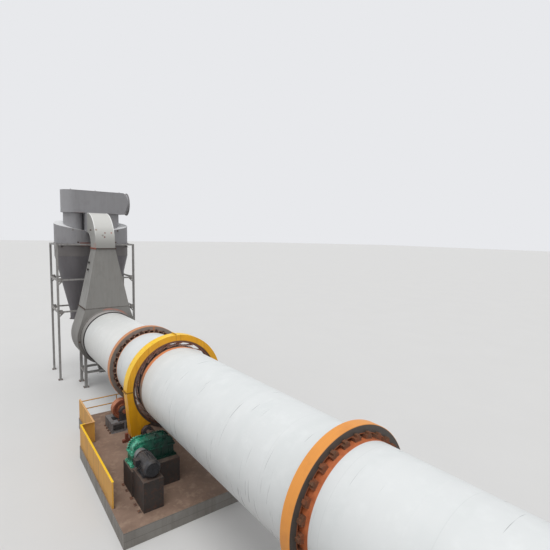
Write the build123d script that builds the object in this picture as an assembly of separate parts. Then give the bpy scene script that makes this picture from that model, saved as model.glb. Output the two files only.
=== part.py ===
from build123d import *
import math
import os

# Rotary slag dryer: an inclined drum on two tyre stations with a guarded girth gear drive.
# Its discharge hood leads through a riser and a gooseneck into a pair of cyclones on a steel tower.
# Millimetres. X runs level along the drum towards the feed end, Z is up.
# The origin is on the ground, under the drum axis, at the front plane of the gear guard.

# Drum
DRUM_R = 1500.0
DRUM_WALL = 25.0
AXIS_HEIGHT = 3300.0
INCLINE = 1.442
FEED_END_X = 16250.0
DRUM_IN_HOOD = 350.0
BEYOND = 40000.0

# Tyres and their seat pads
PAD_HEIGHT = 85.0
PAD_COUNT = 28
PAD_ANGLE = 7.0
DISCHARGE_PAD_OVERHANG = 50.0
FEED_PAD_OVERHANG = 95.0
STOP_WIDTH = 80.0
STOP_HEIGHT = 55.0
TYRE_THICKNESS = 200.0
TYRE_WIDTH = 300.0
TYRE_CHAMFER = 12.0
DISCHARGE_TYRE_X = -3336.0
FEED_TYRE_X = 9373.0
TYRE_BORE_R = DRUM_R + PAD_HEIGHT
TYRE_R = TYRE_BORE_R + TYRE_THICKNESS

# Support rollers, their bearings and bases
ROLLER_R = 430.0
ROLLER_WIDTH = 360.0
ROLLER_RIM = 90.0
ROLLER_HUB_R = 190.0
ROLLER_DISH = 45.0
ROLLER_SHAFT_R = 100.0
ROLLER_SHAFT_LENGTH = 1040.0
ROLLER_SPREAD = 34.5
ROLLER_TOUCH_GAP = 0.5
ROLLER_SIDE_GAP = 25.0
BEARING_DROP = 415.0
BEARING_OFFSET = 380.0
BEARING_WIDTH = 190.0
BEARING_R = 185.0
RUNNING_GAP = 0.08
ROLLER_BASE_X = 1080.0
ROLLER_BASE_Y = 1160.0
BASE_PLATE = 65.0
BASE_CELL_DEPTH = 260.0

# Girth gear and pinion, one module; the gear's size follows the shell in whole teeth
MODULE = 20.0
GEAR_RISE = 300.0
GEAR_RIM = 150.0
GEAR_TEETH = round(2 * (DRUM_R + GEAR_RISE) / MODULE)
GEAR_PITCH_R = MODULE * GEAR_TEETH / 2
GEAR_BORE_R = GEAR_PITCH_R - GEAR_RIM
GEAR_WIDTH = 280.0
PINION_TEETH = 20
PINION_PITCH_R = MODULE * PINION_TEETH / 2
PINION_EXTRA_WIDTH = 10.0
PRESSURE_ANGLE = 20.0
BACKLASH = 1.2
PINION_ANGLE = 40.0
PINION_SHAFT_R = 75.0
PINION_BEARING_R = 175.0
PINION_BEARING_WIDTH = 170.0
PINION_BEARING_DROP = 260.0
PINION_BEARING_GAP = 75.0
COUPLING_R = 185.0
COUPLING_LENGTH = 300.0
COUPLING_FLANGE = 60.0
COUPLING_HUB_R = 0.65 * COUPLING_R
COUPLING_FACE_GAP = 10.0

# Tangential plates that carry the gear on the shell
SPRING_COUNT = 20
SPRING_THICKNESS = 16.0
SPRING_WIDTH = 230.0
SPRING_START = 12.0
SPRING_END_GAP = 22.0
SPRING_LENGTH = math.sqrt(GEAR_BORE_R ** 2 - (DRUM_R + SPRING_THICKNESS) ** 2) - SPRING_END_GAP

# Gear guard
GUARD_CLEARANCE = 152.0
GUARD_R = GEAR_PITCH_R + MODULE + GUARD_CLEARANCE
GUARD_LIP = 235.0
GUARD_DEPTH = 430.0
GUARD_SHEET = 10.0
GUARD_FLANGE = 60.0
GUARD_FLANGE_SHEET = 12.0
GUARD_LEG_TAPER = 142.0
GUARD_LEG_Z = -GUARD_R + 241.0
GUARD_ARCH_R = 195.0
GUARD_ARCH_DROP = 90.0
GUARD_ARCH_RISE = 92.0
GUARD_TIP_Y = 239.0
GUARD_TIP_Z = 197.0
GUARD_GAP_END_Y = -300.0
GUARD_POST = 110.0
GUARD_ARM = 335.0
GEAR_X1 = -(GUARD_DEPTH - GEAR_WIDTH) / 2
GEAR_X0 = GEAR_X1 - GEAR_WIDTH
GEAR_MIDDLE = (GEAR_X0 + GEAR_X1) / 2

# Drive
GEARBOX_X0 = 1200.0
GEARBOX_X1 = 1690.0
GEARBOX_Y0 = -2340.0
GEARBOX_Y1 = -860.0
GEARBOX_RISE = 366.0
GEARBOX_ROUND = 385.0
GEARBOX_DROP = 420.0
GEARBOX_RIM = 40.0
GEARBOX_FLANGE = 30.0
GEARBOX_FOOT = 70.0
GEARBOX_RIBS = 5
SHAFT_END_GAP = 6.0
MOTOR_X0 = 2005.0
MOTOR_X1 = 2985.0
MOTOR_Y = -2080.0
MOTOR_R = 275.0
MOTOR_DROP = 315.0
MOTOR_FINS = 20
MOTOR_FIN_HEIGHT = 28.0
MOTOR_FIN_SHEET = 12.0
MOTOR_COWL = 210.0
COUPLING_COVER_R = 215.0
PLINTH_MARGIN = 100.0

# Foundations and fences
PLATFORM_TOP = 525.0
PLATFORM_X0 = -5250.0
PLATFORM_STEP_X = -2475.0
PLATFORM_X1 = 3600.0
PLATFORM_Y = 2680.0
PLATFORM_WIDE_Y = 3180.0
PLATFORM_BACK_Y = 2250.0
PEDESTAL_HALF_X = 1500.0
PEDESTAL_RISE = (FEED_TYRE_X - DISCHARGE_TYRE_X) * math.sin(math.radians(INCLINE))
FENCE_INSET = 25.0
FENCE_HEIGHT = 900.0
FENCE_SHEET = 6.0
FENCE_FOLD = 70.0
FENCE_POST = 50.0
FENCE_NEAR_END_X = 2300.0
RAIL_HEIGHT = 780.0
RAIL_R = 24.0
RAIL_POST_R = 21.0
RAIL_POSTS = 4

# Discharge hood, riser and gooseneck
SHEET = 12.0
FLANGE = 60.0
FLANGE_SHEET = 14.0
HOOD_X1 = -10300.0
HOOD_DEPTH = 1850.0
HOOD_X0 = HOOD_X1 - HOOD_DEPTH
HOOD_ROOM = 220.0
HOOD_R = DRUM_R + HOOD_ROOM
HOOD_AXIS_Z = AXIS_HEIGHT + HOOD_X1 * math.tan(math.radians(INCLINE))
HOOD_NECK_TOP = HOOD_AXIS_Z + HOOD_R
HOOD_NECK_IN = 470.0
HOOD_NECK_HALF = HOOD_R - HOOD_NECK_IN
COLLAR_DEPTH = 650.0
COLLAR_GAP = 30.0
COLLAR_SHEET = 15.0
COLLAR_R = DRUM_R + COLLAR_GAP + COLLAR_SHEET
SEAL_LIP = 16.0
COLLAR_ROOT = 200.0
CHUTE_HALF = 600.0
CHUTE_END = 500.0
CHUTE_SPOUT_HALF = 320.0
CHUTE_SPOUT_END = 780.0
CHUTE_FOOT_Z = 620.0
CHUTE_LAP = 60.0
LEG_SIZE = 150.0
LEG_HALF_Y = 1250.0
LEG_INSET = 300.0
LEG_BRACE_Z = 900.0
LEG_PLATE = 25.0
RISER_TOP = 8310.0
DUCT_HALF = 550.0
BEND_CENTRE_X = -12525.0
BEND_CENTRE_Z = 8520.0
BEND_OUTER_R = 1950.0
BEND_INNER_R = 735.0
DUCT_FRONT_X = BEND_CENTRE_X + BEND_OUTER_R
DUCT_BACK_X = BEND_CENTRE_X + BEND_INNER_R
PORT_R = 60.0
PORT_LENGTH = 90.0
PORTS = ((-11386.0, 7448.0), (-11334.0, 7030.0))

# Cyclones
CYCLONE_X = -13950.0
CYCLONE_R = 1110.0
CYCLONE_APART = 20.0
CYCLONE_Y = CYCLONE_R + CYCLONE_APART
CYCLONE_SEAM_Z = 7750.0
CYCLONE_RING_Z = 8530.0
RING_WIDTH = 70.0
RING_SHEET = 30.0
RING_LAP = 5.0
RING_APART = 10.0
CONE_FOOT_Z = 4100.0
CONE_FOOT_R = 300.0
DUST_SPOUT = 500.0
INLET_X1 = -12700.0
INLET_IN_Y = 25.0
INLET_TOP_Z = BEND_CENTRE_Z + BEND_OUTER_R
INLET_FOOT_Z = BEND_CENTRE_Z + BEND_INNER_R
ROOF_TOP_Z = INLET_TOP_Z - 30.0
ROOF_DROP = BEND_OUTER_R - BEND_INNER_R + 115.0
ROOF_SHEET = 14.0
TUBE_R = 570.0
TUBE_REACH = 655.0
HELIX_IN_R = TUBE_R / 3
HELIX_OUT_R = 1.4 * CYCLONE_R
HELIX_STEPS = 24
PLENUM_Z0 = INLET_TOP_Z + 40.0
PLENUM_Z1 = PLENUM_Z0 + 1390.0
PLENUM_R = 700.0
PLENUM_BOX_Y = 2120.0
PLENUM_TAPER = 260.0
PLENUM_THROAT = 150.0
FIT_GAP = 0.3

# Steel tower
TOWER_X_HALF = CYCLONE_R + 100.0
TOWER_Y_HALF = CYCLONE_Y + CYCLONE_R + 60.0
TOWER_COLUMN = 120.0
TOWER_LEVELS = (4300.0, 6290.0)
KNEE = 330.0
KNEE_SIZE = 60.0


def cyl(x0, x1, r, y=0.0, z=0.0):
    return Pos((x0 + x1) / 2, y, z) * Rot(0, 90, 0) * Cylinder(r, x1 - x0)


def cyl_y(y0, y1, r, x, z):
    return Pos(x, (y0 + y1) / 2, z) * Rot(90, 0, 0) * Cylinder(r, y1 - y0)


def cyl_z(z0, z1, r, x, y):
    return Pos(x, y, (z0 + z1) / 2) * Cylinder(r, z1 - z0)


def tube(x0, x1, r_out, r_in, y=0.0, z=0.0):
    return cyl(x0, x1, r_out, y, z) - cyl(x0 - SHEET, x1 + SHEET, r_in, y, z)


def tube_z(r_out, r_in, z0, z1, x, y):
    return cyl_z(z0, z1, r_out, x, y) - cyl_z(z0 - SHEET, z1 + SHEET, r_in, x, y)


def block(x0, x1, y0, y1, z0, z1):
    return Pos((x0 + x1) / 2, (y0 + y1) / 2, (z0 + z1) / 2) * Box(x1 - x0, y1 - y0, z1 - z0)


def frame_block(x0, x1, y0, y1, z0, z1, width):
    # a flat rectangular flange with a rim of the given width outside the opening
    return block(x0 - width, x1 + width, y0 - width, y1 + width, z0, z1) \
        - block(x0, x1, y0, y1, z0 - SHEET, z1 + SHEET)


def extrude_x(points, x0, x1):
    face = Face(Wire.make_polygon([Vector(x0, y, z) for y, z in points], close=True))
    return Solid.extrude(face, Vector(x1 - x0, 0, 0))


def revolve_x(points, y=0.0, z=0.0):
    # a turned body about an axis along X, from points (x, radius)
    face = Face(Wire.make_polygon([Vector(x, 0, r) for x, r in points], close=True))
    return Pos(0, y, z) * revolve(face, Axis.X)


def on_axis(shape):
    return Pos(0, 0, AXIS_HEIGHT) * Rot(0, -INCLINE, 0) * shape


def above(level):
    return block(-BEYOND, BEYOND, -BEYOND, BEYOND, level, BEYOND)


def level_x(x, z):
    # level position of a point given along the inclined axis
    return x * math.cos(math.radians(INCLINE)) - z * math.sin(math.radians(INCLINE))


def axis_z(x):
    # height of the drum axis at a level position
    return AXIS_HEIGHT + x * math.tan(math.radians(INCLINE))


def fuse(pieces):
    shape = pieces[0]
    for piece in pieces[1:]:
        shape += piece
    return shape


def save(name, shape):
    export_step(shape, f"parts/{name}.step")


def save_all(name, shapes):
    save(name, Compound(children=list(shapes)))


def radial(count, make, start=0.0):
    return [Rot(start + 360.0 * i / count, 0, 0) * make() for i in range(count)]


def sector(x0, x1, r_in, r_out, half_angle):
    reach = 2 * r_out
    side = reach * math.tan(math.radians(half_angle))
    wedge = extrude_x([(0, 0), (side, reach), (-side, reach)], x0, x1)
    return tube(x0, x1, r_out, r_in) & wedge


def tooth_half_angle(r, teeth):
    pitch_r = MODULE * teeth / 2
    base_r = pitch_r * math.cos(math.radians(PRESSURE_ANGLE))
    pressure = math.radians(PRESSURE_ANGLE)
    involute = math.tan(pressure) - pressure
    here = math.acos(min(1.0, base_r / r))
    return math.pi / (2 * teeth) - BACKLASH / (4 * pitch_r) + involute - (math.tan(here) - here)


def gear_profile(teeth, radii, phase):
    points = []
    for i in range(teeth):
        centre = math.radians(phase) + 2 * math.pi * i / teeth
        rising = [(r, centre - tooth_half_angle(r, teeth)) for r in radii]
        falling = [(r, centre + tooth_half_angle(r, teeth)) for r in reversed(radii)]
        points += [(r * math.cos(a), r * math.sin(a)) for r, a in rising + falling]
    return points


def drum_nodes():
    shell = tube(HOOD_X1 - DRUM_IN_HOOD, FEED_END_X, DRUM_R, DRUM_R - DRUM_WALL)
    save("drum_shell", on_axis(shell))
    for name, x, overhang in (("discharge", DISCHARGE_TYRE_X, DISCHARGE_PAD_OVERHANG),
                              ("feed", FEED_TYRE_X, FEED_PAD_OVERHANG)):
        x0 = x - TYRE_WIDTH / 2
        x1 = x + TYRE_WIDTH / 2
        tyre = revolve_x([(x0, TYRE_BORE_R), (x1, TYRE_BORE_R), (x1, TYRE_R - TYRE_CHAMFER),
                          (x1 - TYRE_CHAMFER, TYRE_R), (x0 + TYRE_CHAMFER, TYRE_R),
                          (x0, TYRE_R - TYRE_CHAMFER)])
        save(f"{name}_tyre", on_axis(tyre))

        def pad():
            seat = sector(x0 - overhang, x1 + overhang, DRUM_R, TYRE_BORE_R, PAD_ANGLE / 2)
            for a, b in ((x0 - overhang, x0), (x1, x1 + overhang)):
                seat += block(a, b, -STOP_WIDTH / 2, STOP_WIDTH / 2, TYRE_BORE_R - STOP_HEIGHT / 2,
                              TYRE_BORE_R + STOP_HEIGHT)
            return seat
        save_all(f"{name}_tyre_pads", [on_axis(piece) for piece in radial(PAD_COUNT, pad)])


def girth_gear_nodes():
    radii = [GEAR_PITCH_R - 1.25 * MODULE, GEAR_PITCH_R + MODULE]
    outline = gear_profile(GEAR_TEETH, radii, 270.0 - PINION_ANGLE)
    gear = extrude_x(outline, GEAR_X0, GEAR_X1) - cyl(GEAR_X0 - SHEET, GEAR_X1 + SHEET, GEAR_BORE_R)
    save("girth_gear", on_axis(gear))

    def plate():
        return block(GEAR_MIDDLE - SPRING_WIDTH / 2, GEAR_MIDDLE + SPRING_WIDTH / 2, 0, SPRING_LENGTH,
                     DRUM_R, DRUM_R + SPRING_THICKNESS)
    save_all("gear_springs", [on_axis(piece) for piece in radial(SPRING_COUNT, plate, SPRING_START)])


def pinion_place():
    distance = GEAR_PITCH_R + PINION_PITCH_R
    a = math.radians(PINION_ANGLE)
    return -distance * math.sin(a), -distance * math.cos(a)


def plummer_block(x, y, z, width, bore, drop, r):
    # split bearing housing: foot, tapered body, joint flange, cap and a seal ring on each side
    x0 = x - width / 2
    x1 = x + width / 2
    housing = block(x0, x1, y - 1.5 * r, y + 1.5 * r, z - drop, z - drop + r / 4)
    housing += extrude_x([(y - 1.15 * r, z - drop), (y + 1.15 * r, z - drop), (y + r, z), (y - r, z)],
                         x0, x1)
    housing += block(x0, x1, y - 1.25 * r, y + 1.25 * r, z - r / 8, z + r / 8)
    housing += cyl(x0, x1, r, y, z)
    housing += cyl(x0 - r / 10, x1 + r / 10, 0.72 * r, y, z)
    return housing - cyl(x0 - width, x1 + width, bore, y, z)


def pinion_nodes():
    y, z = pinion_place()
    radii = [PINION_PITCH_R - 1.25 * MODULE, PINION_PITCH_R * 0.965, PINION_PITCH_R + MODULE / 10,
             PINION_PITCH_R + MODULE]
    phase = 90.0 - PINION_ANGLE + 180.0 / PINION_TEETH
    outline = [(y + a, z + b) for a, b in gear_profile(PINION_TEETH, radii, phase)]
    pinion = extrude_x(outline, GEAR_X0 - PINION_EXTRA_WIDTH, GEAR_X1 + PINION_EXTRA_WIDTH)
    rear = -GUARD_DEPTH - PINION_BEARING_GAP - PINION_BEARING_WIDTH / 2
    front = PINION_BEARING_GAP + PINION_BEARING_WIDTH / 2
    shaft_end = GEARBOX_X0 - GEARBOX_RIM - SHAFT_END_GAP
    pinion += cyl(rear - PINION_BEARING_WIDTH, shaft_end, PINION_SHAFT_R, y, z)
    middle = (front + GEARBOX_X0) / 2
    for side in (-1, 1):
        face = middle + side * COUPLING_FACE_GAP / 2
        rim = face + side * COUPLING_FLANGE
        hub = middle + side * COUPLING_LENGTH / 2
        pinion += cyl(min(face, rim), max(face, rim), COUPLING_R, y, z)
        pinion += cyl(min(face, hub), max(face, hub), COUPLING_HUB_R, y, z)
    save("drive_pinion", on_axis(pinion))
    bearings = [plummer_block(x, y, z, PINION_BEARING_WIDTH, PINION_SHAFT_R + RUNNING_GAP,
                              PINION_BEARING_DROP, PINION_BEARING_R) for x in (rear, front)]
    save_all("pinion_bearings", [on_axis(piece) for piece in bearings])
    return rear, front


def guard_arch(x0, x1):
    # a round arch over the pinion shaft, open downwards; its edge runs on from the crown to a tip at the lip
    y, z = pinion_place()
    tip_y = y + GUARD_TIP_Y
    tip_z = z + GUARD_TIP_Z
    arch = cyl(x0, x1, GUARD_ARCH_R, y, z - GUARD_ARCH_DROP)
    arch += block(x0, x1, y - GUARD_ARCH_R, y + GUARD_ARCH_R, -BEYOND, z - GUARD_ARCH_DROP)
    beside = [(y, z + GUARD_ARCH_RISE), (tip_y, tip_z), (GUARD_GAP_END_Y, tip_z), (GUARD_GAP_END_Y, -BEYOND),
              (y, -BEYOND)]
    return arch + extrude_x(beside, x0, x1), tip_y


def guard_nodes():
    arch, tip_y = guard_arch(-GUARD_DEPTH - SHEET, SHEET)
    foot_y = -GUARD_R + GUARD_LEG_TAPER
    upper_half = above(0)
    skins = ((-GUARD_SHEET, 0), (-GUARD_DEPTH, -GUARD_DEPTH + GUARD_SHEET))

    def split_flange(side, z0, z1):
        y0 = side * (GUARD_R - GUARD_SHEET / 2)
        y1 = side * (GUARD_R + GUARD_FLANGE)
        return block(-GUARD_DEPTH, 0, min(y0, y1), max(y0, y1), z0, z1)

    ring = tube(-GUARD_DEPTH, 0, GUARD_R, GUARD_R - GUARD_SHEET)
    for x0, x1 in skins:
        ring += tube(x0, x1, GUARD_R, GUARD_R - GUARD_LIP)
    upper = ring & upper_half
    for side in (-1, 1):
        upper += split_flange(side, 0, GUARD_FLANGE_SHEET)
    upper += block(-GUARD_DEPTH, 0, -GUARD_FLANGE_SHEET, GUARD_FLANGE_SHEET, GUARD_R - GUARD_SHEET / 2,
                   GUARD_R + GUARD_FLANGE)
    save("gear_guard_upper", on_axis(upper))

    leg_side = block(-BEYOND, BEYOND, -BEYOND, tip_y, -BEYOND, BEYOND)
    lower = (tube(-GUARD_DEPTH, 0, GUARD_R, GUARD_R - GUARD_SHEET) - upper_half) - leg_side
    leg_outline = [(-GUARD_R, 0), (foot_y, GUARD_LEG_Z), (tip_y, GUARD_LEG_Z), (tip_y, 0)]
    for x0, x1 in skins:
        plate = extrude_x(leg_outline, x0, x1) + (cyl(x0, x1, GUARD_R) - upper_half)
        lower += plate - cyl(x0 - SHEET, x1 + SHEET, GUARD_R - GUARD_LIP)
    side_sheet = [(-GUARD_R, 0), (foot_y, GUARD_LEG_Z), (foot_y + GUARD_SHEET, GUARD_LEG_Z),
                  (-GUARD_R + GUARD_SHEET, 0)]
    lower += extrude_x(side_sheet, -GUARD_DEPTH, 0)
    for side in (-1, 1):
        lower += split_flange(side, -GUARD_FLANGE_SHEET, 0)
    lower -= arch
    save_all("gear_guard_lower", [on_axis(lower & leg_side), on_axis(lower - leg_side)])


def roller_place():
    distance = TYRE_R + ROLLER_R + ROLLER_TOUCH_GAP
    a = math.radians(ROLLER_SPREAD)
    return distance * math.sin(a), -distance * math.cos(a)


def roller(x, y, z):
    # turned roller: rim, dished sides, hub and shaft in one body
    profile = [(ROLLER_SHAFT_LENGTH / 2, 0), (ROLLER_SHAFT_LENGTH / 2, ROLLER_SHAFT_R),
               (ROLLER_WIDTH / 2, ROLLER_SHAFT_R), (ROLLER_WIDTH / 2, ROLLER_HUB_R),
               (ROLLER_WIDTH / 2 - ROLLER_DISH, ROLLER_HUB_R + ROLLER_DISH / 3),
               (ROLLER_WIDTH / 2 - ROLLER_DISH, ROLLER_R - ROLLER_RIM),
               (ROLLER_WIDTH / 2, ROLLER_R - ROLLER_RIM + ROLLER_DISH / 3),
               (ROLLER_WIDTH / 2, ROLLER_R - TYRE_CHAMFER), (ROLLER_WIDTH / 2 - TYRE_CHAMFER, ROLLER_R)]
    points = [(x + a, r) for a, r in profile] + [(x - a, r) for a, r in reversed(profile)]
    return revolve_x(points, y, z)


def roller_base(x, y, z, floor):
    # a welded box with two open cells in each end face and a well under the roller
    middle = level_x(x, z)
    x0 = middle - ROLLER_BASE_X / 2
    x1 = middle + ROLLER_BASE_X / 2
    y0 = y - ROLLER_BASE_Y / 2
    y1 = y + ROLLER_BASE_Y / 2
    base = block(x0, x1, y0, y1, floor, AXIS_HEIGHT + z + BEARING_R)
    base -= on_axis(above(z - BEARING_DROP))
    top = axis_z(x0) + z - BEARING_DROP
    cell = (ROLLER_BASE_Y - 3 * BASE_PLATE) / 2
    for a, b in ((x0 - BASE_PLATE, x0 + BASE_CELL_DEPTH), (x1 - BASE_CELL_DEPTH, x1 + BASE_PLATE)):
        for i in range(2):
            y_cell = y0 + BASE_PLATE + i * (cell + BASE_PLATE)
            base -= block(a, b, y_cell, y_cell + cell, floor + BASE_PLATE, top - BASE_PLATE)
    half = ROLLER_WIDTH / 2 + ROLLER_SIDE_GAP
    base -= on_axis(cyl(x - half, x + half, ROLLER_R + ROLLER_SIDE_GAP, y, z))
    return base - block(middle - half, middle + half, y - ROLLER_R, y + ROLLER_R, floor + BASE_PLATE,
                        BEYOND)


def roller_nodes():
    y, z = roller_place()
    for name, x, floor in (("discharge", DISCHARGE_TYRE_X, PLATFORM_TOP),
                           ("feed", FEED_TYRE_X, PLATFORM_TOP + PEDESTAL_RISE)):
        bearings = []
        bases = []
        for side_name, side in (("near", -1), ("far", 1)):
            save(f"{name}_roller_{side_name}", on_axis(roller(x, side * y, z)))
            for end in (-1, 1):
                bearings.append(plummer_block(x + end * BEARING_OFFSET, side * y, z, BEARING_WIDTH,
                                              ROLLER_SHAFT_R + RUNNING_GAP, BEARING_DROP, BEARING_R))
            bases.append(roller_base(x, side * y, z, floor))
        save_all(f"{name}_roller_bearings", [on_axis(piece) for piece in bearings])
        save_all(f"{name}_roller_bases", bases)


def gearbox_nodes(y, z):
    bottom = z - GEARBOX_DROP
    housing = block(GEARBOX_X0, GEARBOX_X1, GEARBOX_Y0, GEARBOX_Y1, bottom, z)
    housing += block(GEARBOX_X0 - GEARBOX_FOOT, GEARBOX_X1 + GEARBOX_FOOT, GEARBOX_Y0 - GEARBOX_FOOT,
                     GEARBOX_Y1 + GEARBOX_FOOT, bottom, bottom + 2 * GEARBOX_FLANGE)
    housing += block(GEARBOX_X0 - GEARBOX_RIM, GEARBOX_X1 + GEARBOX_RIM, GEARBOX_Y0 - GEARBOX_RIM,
                     GEARBOX_Y1 + GEARBOX_RIM, z - GEARBOX_FLANGE, z)
    pitch = (GEARBOX_Y1 - GEARBOX_Y0) / GEARBOX_RIBS
    for i in range(GEARBOX_RIBS):
        y_rib = GEARBOX_Y0 + pitch * (i + 0.5)
        housing += block(GEARBOX_X0 - GEARBOX_RIM, GEARBOX_X1 + GEARBOX_RIM, y_rib - GEARBOX_FLANGE / 2,
                         y_rib + GEARBOX_FLANGE / 2, bottom, z)
    save("gearbox_housing", on_axis(housing))

    # two rounded ends over the gear wheels, joined by a flat crown, with bolted rims on the edges
    def crown(x0, x1, grow):
        r = GEARBOX_ROUND + grow
        small = GEARBOX_RISE + grow
        left = GEARBOX_Y0 + GEARBOX_ROUND
        right = GEARBOX_Y1 - GEARBOX_RISE
        flat = z + GEARBOX_RISE + grow
        shape = cyl(x0, x1, r, left, z) + cyl(x0, x1, small, right, z)
        shape += block(x0, x1, left, right, z, flat)
        shape -= above(flat)
        return shape & above(z)
    cover = crown(GEARBOX_X0 + GEARBOX_RIM, GEARBOX_X1 - GEARBOX_RIM, -GEARBOX_FLANGE)
    cover += crown(GEARBOX_X0, GEARBOX_X0 + GEARBOX_RIM, 0)
    cover += crown(GEARBOX_X1 - GEARBOX_RIM, GEARBOX_X1, 0)
    cover += block(GEARBOX_X0 - GEARBOX_RIM, GEARBOX_X1 + GEARBOX_RIM, GEARBOX_Y0 - GEARBOX_RIM,
                   GEARBOX_Y1 + GEARBOX_RIM, z, z + GEARBOX_FLANGE)
    cover += cyl(GEARBOX_X0 - GEARBOX_RIM, GEARBOX_X0, 1.6 * PINION_SHAFT_R, y, z) & above(z)
    cover += cyl(GEARBOX_X1, GEARBOX_X1 + GEARBOX_RIM, 1.6 * PINION_SHAFT_R, MOTOR_Y, z) & above(z)
    save("gearbox_cover", on_axis(cover))


def motor_nodes(z):
    x0 = MOTOR_X0
    x1 = MOTOR_X1
    core = MOTOR_R - MOTOR_FIN_HEIGHT
    step = MOTOR_FIN_HEIGHT
    body = revolve_x([(x0, 0), (x0, core / 2), (x0 + step, core - step), (x0 + 2 * step, MOTOR_R),
                      (x0 + 3 * step, MOTOR_R), (x0 + 3 * step, core), (x1 - MOTOR_COWL, core),
                      (x1 - MOTOR_COWL, MOTOR_R), (x1 - 2 * step, MOTOR_R), (x1, MOTOR_R - 2 * step),
                      (x1, 0)], MOTOR_Y, z)
    fins = radial(MOTOR_FINS, lambda: block(x0 + 3 * step, x1 - MOTOR_COWL, -MOTOR_FIN_SHEET / 2,
                                            MOTOR_FIN_SHEET / 2, core - step, MOTOR_R))
    for fin in fins:
        body += Pos(0, MOTOR_Y, z) * fin
    feet_x0 = x0 + 4 * step
    feet_x1 = x1 - MOTOR_COWL - step
    body += block(feet_x0, feet_x1, MOTOR_Y - 0.9 * MOTOR_R, MOTOR_Y + 0.9 * MOTOR_R, z - MOTOR_DROP,
                  z - MOTOR_DROP + step)
    for side in (-1, 1):
        y_foot = MOTOR_Y + side * 0.62 * MOTOR_R
        body += block(feet_x0, feet_x1, y_foot - step, y_foot + step, z - MOTOR_DROP, z - 0.5 * MOTOR_R)
    # terminal box on the side away from the drum
    body += block(feet_x0 + 3 * step, feet_x0 + 12 * step, MOTOR_Y - 1.35 * MOTOR_R,
                  MOTOR_Y - 0.8 * MOTOR_R, z - 0.1 * MOTOR_R, z + 0.6 * MOTOR_R)
    save("motor", on_axis(body))

    # the coupling turns under a round-topped sheet cover
    cover_x0 = GEARBOX_X1 + GEARBOX_FOOT + SHAFT_END_GAP
    cover_x1 = MOTOR_X0 - SHAFT_END_GAP
    foot = z - GEARBOX_DROP
    cover = cyl(cover_x0, cover_x1, COUPLING_COVER_R, MOTOR_Y, z) & above(z)
    cover += block(cover_x0, cover_x1, MOTOR_Y - COUPLING_COVER_R, MOTOR_Y + COUPLING_COVER_R, foot, z)
    inner = COUPLING_COVER_R - SHEET
    cover -= cyl(cover_x0 - SHEET, cover_x1 + SHEET, inner, MOTOR_Y, z)
    cover -= block(cover_x0 - SHEET, cover_x1 + SHEET, MOTOR_Y - inner, MOTOR_Y + inner, foot - SHEET, z)
    shaft = cyl(GEARBOX_X1 + GEARBOX_RIM, MOTOR_X0, 0.7 * PINION_SHAFT_R, MOTOR_Y, z)
    middle = (cover_x0 + cover_x1) / 2
    shaft += cyl(middle - COUPLING_LENGTH / 3, middle + COUPLING_LENGTH / 3, 0.8 * COUPLING_R, MOTOR_Y, z)
    save_all("motor_coupling", [on_axis(cover), on_axis(shaft)])


def drive_nodes(rear, front):
    y, z = pinion_place()
    gearbox_nodes(y, z)
    motor_nodes(z)
    half_x = PINION_BEARING_WIDTH / 2 + PLINTH_MARGIN
    half_y = 1.5 * PINION_BEARING_R + PLINTH_MARGIN / 2

    def plinth(x0, x1, y0, y1, drop):
        return block(x0, x1, y0, y1, PLATFORM_TOP, AXIS_HEIGHT) - on_axis(above(z - drop))
    frame = plinth(level_x(rear, z) - half_x, level_x(front, z) + half_x, y - half_y, y + half_y,
                   PINION_BEARING_DROP)
    shift = level_x(0, z - GEARBOX_DROP)
    frame += plinth(GEARBOX_X0 + shift - GEARBOX_FOOT - PLINTH_MARGIN, MOTOR_X0 + shift,
                    GEARBOX_Y0 - PLINTH_MARGIN, GEARBOX_Y1 + PLINTH_MARGIN, GEARBOX_DROP)
    frame += plinth(MOTOR_X0 + shift, MOTOR_X1 + shift + PLINTH_MARGIN / 2,
                    MOTOR_Y - MOTOR_R - PLINTH_MARGIN / 2, MOTOR_Y + MOTOR_R + PLINTH_MARGIN / 2, MOTOR_DROP)

    # angle posts under the guard: a footed one with an arm at the leg, one on the far side
    middle = level_x(-GUARD_DEPTH / 2, GUARD_LEG_Z)
    foot_y = -GUARD_R + GUARD_LEG_TAPER + GUARD_POST / 2
    x0 = middle - GUARD_POST / 2
    x1 = middle + GUARD_POST / 2
    near = block(x0, x1, foot_y - GUARD_POST / 2, foot_y + GUARD_POST / 2, PLATFORM_TOP, AXIS_HEIGHT)
    near -= on_axis(above(GUARD_LEG_Z))
    leg_foot = axis_z(middle) + GUARD_LEG_Z
    near += block(x0, x1, foot_y - GUARD_ARM, foot_y, leg_foot - 2 * GUARD_POST, leg_foot - GUARD_POST)
    near += block(x0, x1, foot_y - 2 * GUARD_POST - GUARD_SHEET, foot_y - GUARD_POST - GUARD_SHEET,
                  leg_foot - 2 * GUARD_POST, leg_foot + GUARD_POST)
    near += block(middle - GUARD_POST, middle + GUARD_POST, foot_y - GUARD_POST, foot_y + GUARD_POST,
                  PLATFORM_TOP, PLATFORM_TOP + SHEET)
    far_y = GUARD_R / 2
    far = block(x0, x1, far_y - GUARD_POST / 2, far_y + GUARD_POST / 2, PLATFORM_TOP, AXIS_HEIGHT)
    far -= on_axis(cyl(-BEYOND, BEYOND, GUARD_R))
    far -= block(-BEYOND, BEYOND, -BEYOND, BEYOND, AXIS_HEIGHT - GUARD_R / 2, BEYOND)
    save_all("drive_base", list(frame.solids()) + [near, far])


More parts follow.
